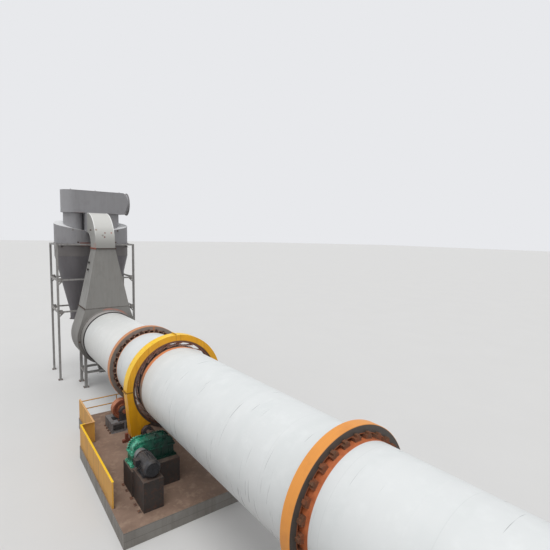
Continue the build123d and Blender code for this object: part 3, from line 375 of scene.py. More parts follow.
def add_node(tree, kind, sockets=None, **settings):
    """A node with its settings, each socket linked or set."""
    node = tree.nodes.new(kind)
    for name, value in settings.items():
        setattr(node, name, value)
    for key, value in (sockets or {}).items():
        if isinstance(value, bpy.types.NodeSocket):
            tree.links.new(value, node.inputs[key])
        else:
            node.inputs[key].default_value = value
    return node


def maths(tree, operation, *values):
    node = add_node(tree, "ShaderNodeMath", dict(enumerate(values)), operation=operation)
    return node.outputs[0]


def vector_maths(tree, operation, output, *values):
    node = add_node(tree, "ShaderNodeVectorMath", dict(enumerate(values)), operation=operation)
    return node.outputs[output]


def ramp(tree, value, low, high, to_low=0.0, to_high=1.0):
    node = add_node(tree, "ShaderNodeMapRange", {
        "Value": value, "From Min": low, "From Max": high, "To Min": to_low, "To Max": to_high})
    return node.outputs[0]


def times(tree, *masks):
    """All masks at once."""
    both = masks[0]
    for mask in masks[1:]:
        both = maths(tree, "MULTIPLY", both, mask)
    return both


def outside(tree, mask):
    return maths(tree, "SUBTRACT", 1.0, mask)


def band(tree, value, middle, half, soft):
    """1 within half of middle, falling to 0 over soft."""
    away = maths(tree, "ABSOLUTE", maths(tree, "SUBTRACT", value, middle))
    return ramp(tree, away, half + soft, half)


def place_coordinates(tree, location=(0, 0, 0), turn=(0, 0, 0), scale=(1, 1, 1)):
    """Object coordinates with the origin moved to location and turned."""
    where = add_node(tree, "ShaderNodeTexCoord").outputs["Object"]
    return add_node(tree, "ShaderNodeMapping", {
        "Vector": where, "Location": location, "Rotation": turn, "Scale": scale},
        vector_type="TEXTURE").outputs[0]


def axis_coordinates(tree):
    return place_coordinates(tree, (0, 0, AXIS_HEIGHT), (0, -INCLINE, 0))


def separate(tree, vector):
    return add_node(tree, "ShaderNodeSeparateXYZ", {0: vector}).outputs


def normal(tree):
    return add_node(tree, "ShaderNodeNewGeometry").outputs["Normal"]


def facing_parts(tree):
    """How far a face looks along x, along y and up, each without its sign."""
    return [maths(tree, "ABSOLUTE", part) for part in separate(tree, normal(tree))]


def spot(tree, point, radius, soft):
    """1 near a point, 0 away from it."""
    where = add_node(tree, "ShaderNodeTexCoord").outputs["Object"]
    away = vector_maths(tree, "DISTANCE", "Value", where, point)
    return ramp(tree, away, radius + soft, radius)


def noise(tree, vector, scale, detail=4.0, roughness=0.55):
    return add_node(tree, "ShaderNodeTexNoise", {
        "Vector": vector, "Scale": scale, "Detail": detail, "Roughness": roughness}).outputs["Fac"]


def lathe_lines(tree, value, scale, detail):
    """Uneven lines along one number, as turning and rolling leave them."""
    return add_node(tree, "ShaderNodeTexNoise", {
        "W": maths(tree, "MULTIPLY", value, scale), "Scale": 1.0, "Detail": detail},
        noise_dimensions="1D").outputs["Fac"]


def stretched(tree, vector, x, y, z):
    scales = add_node(tree, "ShaderNodeCombineXYZ", {0: x, 1: y, 2: z}).outputs[0]
    return vector_maths(tree, "MULTIPLY", 0, vector, scales)


def patches(tree, scale, upright_scale, low, high):
    """Blotches of one size, from hardly any to full cover."""
    vector = stretched(tree, place_coordinates(tree), scale, scale, upright_scale)
    return [ramp(tree, noise(tree, vector, 1.0, 6.0, 0.6), low, high)]


def runs(tree, width, low, high):
    """Streaks that rain draws down upright sheets."""
    fine = maths(tree, "MULTIPLY", width, 2.3)
    vector = stretched(tree, place_coordinates(tree), fine, fine, 0.22)
    narrow = noise(tree, vector, 1.0, 3.0, 0.5)
    wide = noise(tree, stretched(tree, place_coordinates(tree), width, width, 0.5), 0.45, 3.0, 0.5)
    field = maths(tree, "MULTIPLY", narrow, maths(tree, "ADD", wide, 0.5))
    return [ramp(tree, field, low, high)]


def dust(tree, scale, low, high):
    """Dust that settles on faces that look up."""
    looks_up = ramp(tree, separate(tree, normal(tree))[2], 0.25, 0.95)
    field = noise(tree, place_coordinates(tree), scale, 5.0, 0.6)
    return [times(tree, looks_up, ramp(tree, field, low, high))]


def wear(tree, radius, scale, low, high):
    """Edges where paint or a skin has worn thin."""
    soft = add_node(tree, "ShaderNodeBevel", {"Radius": radius}, samples=4).outputs[0]
    near = vector_maths(tree, "DOT_PRODUCT", "Value", normal(tree), soft)
    field = noise(tree, place_coordinates(tree), scale, 4.0, 0.7)
    return [times(tree, ramp(tree, near, 0.995, 0.9), ramp(tree, field, low, high))]


def grain(tree, fine, broad, fine_height, broad_height):
    """The fine unevenness of rolled, cast or sprayed surfaces."""
    where = place_coordinates(tree)
    low = maths(tree, "MULTIPLY", noise(tree, where, fine, 3.0, 0.6), fine_height)
    high = maths(tree, "MULTIPLY", noise(tree, where, broad, 2.0, 0.5), broad_height)
    return [maths(tree, "ADD", low, high)]


def scuffs(tree, along, around, low, high):
    """Thin dark marks that run round the drum."""
    vector = stretched(tree, axis_coordinates(tree), along, around, around)
    return [ramp(tree, noise(tree, vector, 1.0, 2.0, 0.45), low, high)]


def drum_place(tree):
    """Where a point is along, beside and above the drum's axis, and how far from it."""
    x, y, z = separate(tree, axis_coordinates(tree))
    squares = maths(tree, "ADD", maths(tree, "MULTIPLY", y, y), maths(tree, "MULTIPLY", z, z))
    return [x, y, z, maths(tree, "SQRT", squares)]


# each shared group's builder with the names of its inputs and outputs
SHARED = {
    "paint patches": (patches, ("Scale", "Upright scale", "Low", "High"), ("Mask",)),
    "rain runs": (runs, ("Width", "Low", "High"), ("Mask",)),
    "settled dust": (dust, ("Scale", "Low", "High"), ("Mask",)),
    "worn edges": (wear, ("Radius", "Scale", "Low", "High"), ("Mask",)),
    "sheet grain": (grain, ("Fine", "Broad", "Fine height", "Broad height"), ("Height",)),
    "drum scuffs": (scuffs, ("Along", "Around", "Low", "High"), ("Mask",)),
    "place on the drum": (drum_place, (), ("Along", "Side", "Up", "Radius")),
}
GROUPS = {}


def build_groups():
    for name, (build, inputs, outputs) in SHARED.items():
        tree = bpy.data.node_groups.new(name, "ShaderNodeTree")
        for way, sockets in (("INPUT", inputs), ("OUTPUT", outputs)):
            for socket in sockets:
                tree.interface.new_socket(socket, in_out=way, socket_type="NodeSocketFloat")
        source = tree.nodes.new("NodeGroupInput")
        target = tree.nodes.new("NodeGroupOutput")
        made = build(tree, *[source.outputs[i] for i in range(len(inputs))])
        for value, socket in zip(made, target.inputs):
            tree.links.new(value, socket)
        GROUPS[build] = tree


# Finishes


class Finish:
    """One material, built up as a base coat with masks laid over it."""

    def __init__(self, name, colour, roughness=0.5):
        self.material = bpy.data.materials.new(name)
        self.material.use_nodes = True
        self.tree = self.material.node_tree
        self.tree.nodes.clear()
        self.colour = paint(colour)
        self.roughness = roughness
        self.normal = None

    def shared(self, build, *values):
        """The outputs of a shared group, with its inputs in their order."""
        node = self.tree.nodes.new("ShaderNodeGroup")
        node.node_tree = GROUPS[build]
        for socket, value in zip(node.inputs, values):
            socket.default_value = value
        return node.outputs

    def mask(self, build, *values):
        return self.shared(build, *values)[0]

    def lay(self, mask, colour, strength=1.0, roughness=None):
        """Lays a colour over what is there, as far as the mask lets it."""
        if strength != 1.0:
            mask = maths(self.tree, "MULTIPLY", mask, strength)
        # a mixed colour's sockets are numbers 6 and 7 of its node, and its output number 2
        self.colour = add_node(self.tree, "ShaderNodeMix", {
            0: mask, 6: self.colour, 7: paint(colour)}, data_type="RGBA").outputs[2]
        if roughness is not None:
            self.roughness = add_node(self.tree, "ShaderNodeMix", {
                0: mask, 2: self.roughness, 3: roughness}).outputs[0]

    def coat(self, build, values, colour, strength=1.0, roughness=None, within=None):
        """Lays a colour in the pattern of a shared group, within a mask if one is given."""
        mask = self.mask(build, *values)
        if within is not None:
            mask = times(self.tree, within, mask)
        self.lay(mask, colour, strength, roughness)

    def bump(self, height, distance, strength):
        sockets = {"Height": height, "Distance": distance, "Strength": strength}
        if self.normal is not None:
            sockets["Normal"] = self.normal
        self.normal = add_node(self.tree, "ShaderNodeBump", sockets).outputs[0]

    def done(self, *grain_values, distance=0.0, strength=0.0):
        """The finished material, last given the grain of its surface."""
        if grain_values:
            self.bump(self.mask(grain, *grain_values), distance, strength)
        sockets = {"Base Color": self.colour, "Roughness": self.roughness}
        if self.normal is not None:
            sockets["Normal"] = self.normal
        shader = add_node(self.tree, "ShaderNodeBsdfPrincipled", sockets)
        add_node(self.tree, "ShaderNodeOutputMaterial", {"Surface": shader.outputs[0]})
        return self.material


def drum_paint(colours):
    """Smooth pale paint, scuffed round the shell and rusty by the tyres, with painted shade on the
    shell inside the gear guard, in the gaps by the discharge tyre's pads, at the hoods' collars and
    towards the discharge hood.
    """
    f = Finish("drum_paint", colours.drum, 0.42)
    tree = f.tree
    along, _, up, _ = f.shared(drum_place)
    discharge, feed = TYRE_XS["discharge"], TYRE_XS["feed"]
    f.lay(ramp(tree, along, discharge + 0.2, discharge - 0.2), shade(232, 231, 227), 0.8)
    # painted shade: the shell darker towards the discharge hood
    f.lay(ramp(tree, along, -5.5, -9.5), shade(192, 191, 187), 0.5)
    f.coat(patches, (0.5, 0.5, 0.4, 0.7), shade(210, 215, 214), 0.35)
    f.coat(patches, (2.6, 2.6, 0.5, 0.72), shade(236, 238, 237), 0.4, 0.5)
    f.coat(scuffs, (2.2, 0.25, 0.5, 0.74), shade(196, 202, 200), 0.12)
    worn = ramp(tree, along, discharge - 0.4, discharge + 0.8, 0.25, 1.0)
    near_low = times(tree, worn, ramp(tree, up, 0.7, -0.7))
    f.coat(scuffs, (18.0, 0.5, 0.7, 0.73), shade(110, 113, 113), 0.6, within=worn)
    f.coat(scuffs, (13.0, 1.1, 0.69, 0.71), shade(104, 106, 106), 0.65, within=near_low)
    f.coat(scuffs, (30.0, 0.6, 0.69, 0.72), shade(96, 98, 98), 0.75, within=near_low)
    f.coat(patches, (1.4, 1.4, 0.35, 0.7), colours.dirt, 0.3, 0.7, ramp(tree, up, -0.7, -1.45))

    # rust under and beside the tyres, and painted shade, near black, in the gaps between the
    # discharge tyre's pads
    f.lay(band(tree, along, feed + 0.08, 0.27, 0.012), shade(196, 104, 48), 0.97, 0.75)
    f.coat(patches, (5.0, 5.0, 0.4, 0.65), shade(142, 68, 36), 0.6,
           within=band(tree, along, feed + 0.08, 0.26, 0.02))
    f.lay(band(tree, along, discharge, 0.27, 0.015), shade(226, 146, 92), 0.95, 0.75)
    # painted shade in the gaps between the discharge tyre's pads
    f.lay(band(tree, along, discharge, 0.205, 0.02), shade(42, 31, 28), 0.96, 0.8)

    # rust by the gear, greyer towards the bottom; painted shade, near black, on the shell inside
    # the gear guard; and painted shade in the gaps where the hoods' collars meet the shell
    edge = f.mask(patches, 7.0, 7.0, 0.2, 0.8)
    ragged = maths(tree, "ADD", along, maths(tree, "MULTIPLY", edge, 0.05))
    f.lay(band(tree, ragged, 0.1, 0.14, 0.03), shade(224, 134, 74), 0.95, 0.8)
    f.lay(times(tree, band(tree, ragged, 0.1, 0.15, 0.03), ramp(tree, up, 0.9, 0.2)),
          shade(132, 122, 112), 0.9, 0.7)
    # painted shade on the shell inside the gear guard
    f.lay(band(tree, ragged, -0.22, 0.25, 0.03), shade(52, 41, 37), 0.96, 0.6)
    # painted shade in the gaps where the hoods' collars meet the shell
    for front in (HOOD_FRONT + COLLAR_DEPTH, FEED_HOOD_BACK - COLLAR_DEPTH):
        f.lay(band(tree, along, front, 0.05, 0.015), shade(46, 43, 43), 0.9, 0.7)

    seam = ramp(tree, maths(tree, "PINGPONG", maths(tree, "ADD", along, 40.0), 1.0), 0.012, 0.004)
    f.lay(seam, shade(196, 200, 199), 0.18)
    f.bump(seam, 0.001, 0.4)
    return f.done(90.0, 0.9, 0.03, 1.0, distance=0.012, strength=0.5)


def tyre_steel(colours):
    """Turned faces, the feed tyre's dark with oil, and a rust-orange running face."""
    f = Finish("tyre_steel", shade(118, 110, 103), 0.62)
    tree = f.tree
    along, side, up, radius = f.shared(drum_place)
    feed_end = ramp(tree, along, 1.0, 2.0)
    rings = lathe_lines(tree, radius, 90.0, 2.0)
    f.lay(ramp(tree, rings, 0.35, 0.7), shade(132, 124, 117), 0.4)
    f.coat(patches, (3.0, 3.0, 0.45, 0.75), shade(94, 86, 80), 0.5)
    f.coat(patches, (11.0, 11.0, 0.55, 0.7), colours.rust, 0.2)
    # painted light: the tyre's face lighter towards the top
    f.lay(ramp(tree, up, 0.9, 1.6), shade(152, 134, 124), 0.5)
    f.lay(feed_end, shade(58, 53, 48), 0.85, 0.5)
    stain = times(tree, band(tree, side, 0.25, 0.03, 0.03), ramp(tree, up, 1.4, 1.6),
                  ramp(tree, along, -3.22, -3.2), ramp(tree, along, -3.1, -3.15))
    f.lay(stain, shade(188, 118, 70), 0.7, 0.8)

    rim = ramp(tree, radius, TYRE_R - 0.016, TYRE_R - 0.004)
    f.lay(rim, shade(216, 148, 104), 0.95, 0.55)
    lines = lathe_lines(tree, along, 34.0, 1.0)
    f.lay(times(tree, rim, ramp(tree, lines, 0.5, 0.66)), shade(142, 98, 72), 0.7)
    f.lay(times(tree, rim, feed_end), shade(236, 156, 66), 0.95, 0.5)
    f.lay(times(tree, rim, ramp(tree, lines, 0.4, 0.7)), shade(222, 146, 70), 0.35)
    f.coat(patches, (2.0, 2.0, 0.5, 0.8), shade(186, 110, 54), 0.45, within=rim)
    f.lay(ramp(tree, radius, 1.612, 1.596), colours.rust, 0.7, 0.8)
    f.bump(rings, 0.002, 0.4)
    return f.done()


def pad_steel(colours):
    """Seat pads, rust-orange under the feed tyre; under the other painted dark brown, as painted
    shade in the gaps between the stop lugs.
    """
    f = Finish("pad_steel", shade(104, 74, 54), 0.78)
    f.coat(patches, (5.0, 5.0, 0.4, 0.65), shade(150, 80, 44), 0.75, 0.85)
    # painted shade: the discharge tyre's pads dark, as the gaps between the stop lugs
    f.lay(ramp(f.tree, f.mask(drum_place), 2.0, 1.0), shade(58, 44, 38), 0.85)
    f.coat(patches, (14.0, 9.0, 0.5, 0.7), colours.dark_rust, 0.75, 0.9)
    f.coat(wear, (0.01, 9.0, 0.4, 0.6), shade(170, 122, 88), 0.4)
    return f.done(40.0, 6.0, 0.6, 0.6, distance=0.004, strength=0.6)


def rusty_steel(name, colours, base, bright):
    """Plain steel under brown and orange rust."""
    f = Finish(name, base, 0.78)
    f.coat(patches, (5.0, 5.0, 0.4, 0.65), colours.rust, bright, 0.85)
    f.coat(patches, (14.0, 9.0, 0.5, 0.7), colours.dark_rust, 0.75, 0.9)
    f.coat(wear, (0.01, 9.0, 0.4, 0.6), shade(196, 132, 86), 0.5)
    return f.done(40.0, 6.0, 0.6, 0.6, distance=0.004, strength=0.6)


def gear_steel(colours):
    """Cast steel dark with grease, lighter towards the top and rusty at the bore."""
    f = Finish("gear_steel", shade(80, 68, 62), 0.45)
    _, _, up, radius = f.shared(drum_place)
    f.coat(patches, (4.0, 4.0, 0.42, 0.68), shade(118, 96, 84), 0.7, 0.7)
    f.coat(patches, (12.0, 12.0, 0.55, 0.72), shade(40, 35, 33), 0.7, 0.38)
    # lighter towards the top
    f.lay(ramp(f.tree, up, 0.2, 1.4), shade(150, 112, 98), 0.6)
    f.lay(ramp(f.tree, radius, GEAR_BORE_R + 0.022, GEAR_BORE_R + 0.004), colours.rust, 0.45, 0.8)
    return f.done(55.0, 5.0, 0.5, 0.5, distance=0.004, strength=0.6)


def spring_steel(colours):
    """Tangential plates, brown with pinkish patches, a painted highlight towards the top and pale
    edges, partly worn and partly painted highlights.
    """
    f = Finish("spring_steel", shade(150, 106, 88), 0.5)
    f.coat(patches, (6.0, 6.0, 0.45, 0.68), shade(206, 168, 150), 0.75, 0.42)
    # painted highlight: the plates lighter towards the top
    f.lay(ramp(f.tree, f.shared(drum_place)["Up"], 0.2, 1.4), shade(224, 172, 152), 0.6)
    f.coat(patches, (13.0, 13.0, 0.5, 0.7), colours.dark_rust, 0.6, 0.85)
    # pale edges: partly worn, partly painted highlights
    f.coat(wear, (0.01, 8.0, 0.35, 0.6), shade(224, 190, 172), 0.7)
    return f.done(50.0, 4.0, 0.5, 0.5, distance=0.004, strength=0.5)


def guard_yellow(colours):
    """Gloss yellow with a painted highlight on the upper outer sheet, joint lines, dirt at the foot
    and pale edges, partly worn and partly painted highlights.
    """
    f = Finish("guard_yellow", colours.yellow, 0.33)
    tree = f.tree
    _, side, up, radius = f.shared(drum_place)
    f.coat(patches, (1.6, 1.6, 0.45, 0.7), shade(216, 150, 20), 0.6, 0.42)
    f.coat(patches, (7.0, 7.0, 0.55, 0.75), shade(240, 186, 44), 0.4)
    # painted highlight: the outer sheet paler on its upper part
    outer_sheet_highlight = times(tree, ramp(tree, radius, GUARD_R - 0.01, GUARD_R - 0.004),
                        ramp(tree, facing_parts(tree)[0], 0.7, 0.4), ramp(tree, up, -0.4, 0.5))
    f.lay(outer_sheet_highlight, shade(255, 208, 34), 0.9, 0.45)
    inner_r = GUARD_R - GUARD_LIP
    f.lay(ramp(tree, radius, inner_r + 0.016, inner_r + 0.004), shade(150, 94, 22), 0.8)
    low = ramp(tree, up, -0.6, -1.75)
    f.lay(low, shade(190, 128, 26), 0.55)
    f.coat(patches, (4.0, 2.0, 0.35, 0.7), shade(160, 104, 28), 0.5, 0.6, low)
    f.coat(runs, (4.0, 0.52, 0.66), shade(182, 122, 24), 0.3)
    top_joint = times(tree, ramp(tree, up, 0.5, 0.9), band(tree, side, 0.0, 0.005, 0.004))
    joints = maths(tree, "MAXIMUM", top_joint, band(tree, up, 0.0, 0.02, 0.008))
    f.lay(joints, shade(128, 84, 30), 0.85, 0.8)
    # pale edges: partly worn paint, partly painted highlights
    f.coat(wear, (0.012, 5.0, 0.42, 0.6), shade(252, 222, 120), 0.6)
    f.coat(wear, (0.02, 2.2, 0.62, 0.68), colours.dark_rust, 0.8, 0.8)
    return f.done(70.0, 1.6, 0.05, 1.0, distance=0.012, strength=0.5)


def roller_steel():
    """Rust-red turned rollers with dark rings and painted highlight rings round their treads."""
    f = Finish("roller_steel", shade(150, 86, 62), 0.62)
    tree = f.tree
    f.coat(patches, (3.0, 3.0, 0.42, 0.66), shade(176, 104, 76), 0.6)
    tread = ramp(tree, facing_parts(tree)[0], 0.6, 0.3)
    f.lay(tread, shade(200, 124, 80), 0.85, 0.45)
    rings = lathe_lines(tree, f.mask(drum_place), 26.0, 1.0)
    f.lay(times(tree, tread, ramp(tree, rings, 0.52, 0.62)), shade(112, 56, 38), 0.8)
    # painted highlights: pale rings round the treads
    f.lay(times(tree, tread, ramp(tree, rings, 0.46, 0.36)), shade(222, 160, 120), 0.6)
    f.coat(patches, (10.0, 10.0, 0.5, 0.7), shade(104, 62, 48), 0.6, 0.8)
    f.coat(wear, (0.012, 6.0, 0.3, 0.6), shade(216, 152, 114), 0.6)
    return f.done(45.0, 4.0, 0.5, 0.6, distance=0.005, strength=0.6)


def machine_coats(name, base, light, dark, colours, dusty, roughness, rusty):
    """Sprayed machine paint with rusty chipped edges, grime in patches, dust on top and pale edges,
    partly worn paint and partly painted highlights.
    """
    f = Finish(name, base, roughness)
    f.coat(patches, (3.0, 3.0, 0.42, 0.68), light, 0.55)
    f.coat(patches, (6.0, 2.4, 0.5, 0.72), dark, 0.7, roughness + 0.2)
    f.coat(runs, (6.0, 0.5, 0.64), dark, 0.5)
    f.coat(dust, (4.0, 0.35, 0.65), colours.dirt, dusty, 0.85)
    # pale edges: partly worn paint, partly painted highlights
    f.coat(wear, (0.01, 8.0, 0.42, 0.58), light, 0.85)
    f.coat(wear, (0.012, 4.0, 0.6, 0.66), colours.rust, rusty, 0.85)
    f.bump(f.mask(grain, 80.0, 5.0, 0.2, 0.5), 0.004, 0.5)
    return f


def machine_paint(*values):
    return machine_coats(*values).done()


def gearbox_paint(name, base, light, dark, colours):
    """Gloss green, with mint painted highlights on the end away from the drum and painted shade,
    near black, towards the drum.
    """
    f = machine_coats(name, base, light, dark, colours, 0.1, 0.24, 0.3)
    side = f.shared(drum_place)["Side"]
    # painted highlights: mint patches and edges on the end away from the drum
    highlight_side = ramp(f.tree, side, -1.8, -2.2)
    f.coat(patches, (5.0, 9.0, 0.48, 0.56), shade(96, 196, 160), 0.7, within=highlight_side)
    f.coat(wear, (0.03, 5.0, 0.35, 0.6), shade(140, 224, 192), 0.8, within=highlight_side)
    # painted shade, near black, towards the drum
    f.coat(patches, (2.0, 2.0, 0.2, 0.5), shade(20, 34, 32), 0.75, 0.3,
           ramp(f.tree, side, -2.0, -1.5))
    return f.done()


def motor_paint(colours):
    """Dark motor paint, nearly black on the fan cover's end."""
    f = machine_coats("motor_dark", colours.motor, shade(78, 78, 82), shade(28, 29, 32), colours,
                      0.35, 0.38, 0.3)
    f.lay(times(f.tree, ramp(f.tree, facing_parts(f.tree)[0], 0.6, 0.9),
                ramp(f.tree, f.mask(drum_place), 2.9, 2.95)), shade(22, 22, 26), 0.85)
    return f.done()


def sheet_coats(name, base, light, dark, colours, dusty=0.3, rusty=0.35):
    """Painted sheet metal: soft waves, faint rain runs, pale dust, rust along the edges and pale
    edges, partly worn paint and partly painted highlights.
    """
    f = Finish(name, base, 0.55)
    f.coat(patches, (0.8, 0.5, 0.38, 0.7), light, 0.5)
    f.coat(patches, (3.2, 2.0, 0.5, 0.75), dark, 0.3, 0.65)
    f.coat(runs, (3.0, 0.48, 0.66), dark, 0.12)
    f.coat(runs, (9.0, 0.54, 0.66), colours.dark_rust, 0.06)
    f.coat(dust, (2.0, 0.3, 0.65), shade(176, 170, 160), dusty, 0.85)
    # pale edges: partly worn paint, partly painted highlights
    f.coat(wear, (0.018, 3.0, 0.4, 0.6), light, 0.7)
    f.coat(wear, (0.02, 1.3, 0.55, 0.64), colours.rust, rusty, 0.85)
    f.bump(f.mask(grain, 70.0, 1.1, 0.04, 1.0), 0.02, 0.6)
    return f


def duct_paint(colours):
    """Grey of the riser, paler on its -y side as painted light, and the paler gooseneck with
    painted highlights on its front and rims, with stains on its face and at its joint.
    """
    f = sheet_coats("duct_grey", colours.duct, shade(150, 148, 143), shade(112, 111, 107), colours,
                    rusty=0.2)
    tree = f.tree
    x, y, z = separate(tree, place_coordinates(tree))
    side = facing_parts(tree)[1]
    # painted light: paler streaks over the riser's -y side
    f.coat(runs, (3.0, 0.3, 0.6), shade(166, 165, 161), 0.7,
           within=times(tree, side, ramp(tree, y, 0.0, -0.3)))

    # the gooseneck, paler, with a painted highlight on its upper front and near-white painted
    # highlights along its rims
    bend = ramp(tree, z, DUCT_JOINT_Z, DUCT_JOINT_Z + 0.02)
    front = times(tree, bend, ramp(tree, side, 0.6, 0.3))
    f.lay(bend, shade(174, 173, 168), 0.8)
    f.lay(times(tree, front, ramp(tree, z, 8.6, 9.6)), shade(212, 211, 206), 0.9)
    in_bend = place_coordinates(tree, BEND_CENTRE, scale=(1, 1000, 1))
    reach = vector_maths(tree, "LENGTH", "Value", in_bend)
    front_rim_highlight = times(tree, front, ramp(
        tree, maths(tree, "ABSOLUTE", y), DUCT_HALF - 0.05, DUCT_HALF - 0.03))
    side_rim_highlight = times(tree, ramp(tree, side, 0.6, 0.9), ramp(
        tree, reach, BEND_OUTER_R - 0.05, BEND_OUTER_R - 0.03))
    rim = maths(tree, "MAXIMUM", front_rim_highlight, side_rim_highlight)
    f.lay(times(tree, rim, ramp(tree, z, 9.0, 9.6)), shade(244, 244, 241), 0.9)

    # rust at the joint, spots on the gooseneck, the ports and the riser's foot
    f.lay(times(tree, band(tree, z, DUCT_JOINT_Z, 0.025, 0.02), ramp(tree, x, -11.2, -10.7)),
          shade(66, 55, 48), 0.85, 0.85)
    near = ramp(tree, y, -0.52, -0.56)
    f.lay(times(tree, band(tree, z, 8.305, 0.04, 0.02), near), shade(182, 90, 66), 0.8, 0.85)
    f.lay(times(tree, band(tree, z, 8.5, 0.08, 0.12), near, ramp(tree, x, -11.3, -10.9)),
          shade(186, 136, 120), 0.4)
    for point, radius, soft, colour, strength in (
            ((-10.797, -0.465, 9.424), 0.035, 0.04, shade(140, 108, 86), 0.75),
            ((-10.661, -0.128, 9.093), 0.03, 0.05, shade(128, 118, 108), 0.7),
            ((-10.715, 0.015, 9.246), 0.03, 0.03, shade(128, 76, 58), 0.9),
            ((-10.718, 0.383, 9.254), 0.025, 0.03, shade(170, 74, 54), 0.9),
            ((-10.635, -0.027, 9.0), 0.03, 0.03, shade(112, 48, 38), 0.95)):
        f.lay(spot(tree, point, radius, soft), colour, strength, 0.8)
    for port in RISER_PORTS:
        f.lay(spot(tree, port, 0.09, 0.012), shade(52, 49, 48), 0.9, 0.7)
    edge = f.mask(patches, 4.0, 4.0, 0.3, 0.7)
    ragged = maths(tree, "ADD", z, maths(tree, "MULTIPLY", edge, 0.03))
    f.lay(band(tree, ragged, 4.78, 0.022, 0.02), shade(70, 60, 54), 0.85, 0.85)
    return f.done()


def hood_paint(colours):
    """Warm grey of the hoods, darker towards the bottom as painted shade, with a painted highlight
    on the collars' tops, painted shade in the gap at the collars' lips and a rust streak over the
    discharge hood's collar.
    """
    f = sheet_coats("hood_grey", colours.hood, shade(152, 150, 146), shade(110, 107, 103), colours)
    tree = f.tree
    along, side, up, radius = f.shared(drum_place)
    # painted shade: the hoods darker towards the bottom
    f.lay(ramp(tree, up, 1.4, -1.2), shade(104, 100, 97), 0.55)
    # painted highlight on the tops of the collars
    f.lay(times(tree, ramp(tree, radius, SHELL_R + 0.12, SHELL_R + 0.08), ramp(tree, up, 0.5, 1.2)),
          shade(172, 168, 165), 0.75)
    f.coat(patches, (5.0, 5.0, 0.2, 0.5), shade(196, 134, 118), 0.8, 0.8, times(
        tree, band(tree, radius, 1.64, 0.03, 0.03), ramp(tree, along, -9.9, -10.1),
        ramp(tree, side, -0.35, -0.15), ramp(tree, side, 1.2, 0.9), ramp(tree, up, 0.5, 0.9)))
    # painted shade in the gap where the collars meet the shell
    collar_gap_shade = times(tree, band(tree, radius, SHELL_R + 0.03, 0.025, 0.004),
                ramp(tree, facing_parts(tree)[0], 0.5, 0.8))
    f.lay(collar_gap_shade, shade(48, 45, 45), 0.9, 0.7)
    return f.done()


def cyclone_paint(colours):
    """Grey of cyclones and plenum, darker and browner below the barrels' ring, with a painted
    highlight on the plenum's rounded end.
    """
    f = sheet_coats("cyclone_grey", colours.cyclone, shade(156, 155, 158), shade(122, 119, 121),
                    colours)
    tree = f.tree
    x, y, z = separate(tree, place_coordinates(tree))
    f.lay(ramp(tree, z, CYCLONE_RING_Z + 0.02, CYCLONE_RING_Z - 0.02), shade(110, 105, 103), 0.85)
    streak = times(tree, band(tree, z, 8.5, 0.1, 0.05), band(tree, y, -0.62, 0.28, 0.12),
                   ramp(tree, x, -13.3, -13.1))
    f.lay(streak, shade(150, 100, 92), 0.7, 0.85)
    # painted highlight: the plenum's rounded end paler
    plenum_end_highlight = times(tree, ramp(tree, z, 10.4, 10.5), ramp(tree, y, -1.0, -1.9))
    f.lay(plenum_end_highlight, shade(178, 178, 180), 0.6)
    return f.done()


def cast_concrete(colours):
    """Cast concrete: brown mud on top, shutter lines and faint stains down the sides."""
    f = Finish("foundation_concrete", colours.concrete, 0.88)
    tree = f.tree
    f.coat(patches, (1.2, 0.7, 0.4, 0.68), shade(126, 121, 115), 0.7)
    f.coat(runs, (2.0, 0.46, 0.66), shade(92, 86, 80), 0.25)
    up = ramp(tree, separate(tree, normal(tree))[2], 0.4, 0.9)
    f.lay(up, shade(146, 119, 101), 0.92)
    f.coat(patches, (0.9, 0.9, 0.42, 0.62), shade(120, 97, 82), 0.8, 0.6, up)
    f.coat(patches, (4.5, 4.5, 0.5, 0.7), shade(166, 142, 122), 0.6, within=up)
    z = separate(tree, place_coordinates(tree))[2]
    lines = ramp(tree, maths(tree, "PINGPONG", maths(tree, "ADD", z, 0.02), 0.13), 0.012, 0.004)
    boards = times(tree, outside(tree, up), lines)
    f.lay(boards, shade(96, 92, 88), 0.5)
    f.bump(boards, -0.004, 0.8)
    return f.done(26.0, 3.0, 0.5, 0.7, distance=0.012, strength=0.7)


def fence_paint(colours):
    """Orange yellow sheet with a bright fold, muddy at the foot, and painted light on the cross
    panel.
    """
    f = Finish("fence_yellow", colours.fence, 0.5)
    tree = f.tree
    x, y, z = separate(tree, place_coordinates(tree))
    f.coat(patches, (1.5, 0.9, 0.4, 0.7), shade(196, 136, 40), 0.7)
    f.coat(runs, (5.0, 0.5, 0.64), shade(150, 100, 40), 0.4)
    # painted light: the cross panel, facing along the drum, paler
    cross = times(tree, ramp(tree, facing_parts(tree)[0], 0.6, 0.8), ramp(tree, x, -2.7, -2.6))
    f.lay(cross, shade(244, 186, 92), 0.85)
    f.coat(patches, (5.0, 5.0, 0.3, 0.7), shade(128, 96, 62), 0.7, 0.8, ramp(tree, z, 0.8, 0.52))
    fold = ramp(tree, z, 1.412, 1.418)
    f.lay(fold, shade(255, 204, 24), 0.92, 0.35)
    f.lay(times(tree, fold, ramp(tree, y, -2.98, -2.94)), shade(214, 164, 118), 0.85)
    f.coat(wear, (0.012, 6.0, 0.55, 0.64), colours.dark_rust, 0.6)
    return f.done(60.0, 2.2, 0.05, 1.0, distance=0.012, strength=0.6)


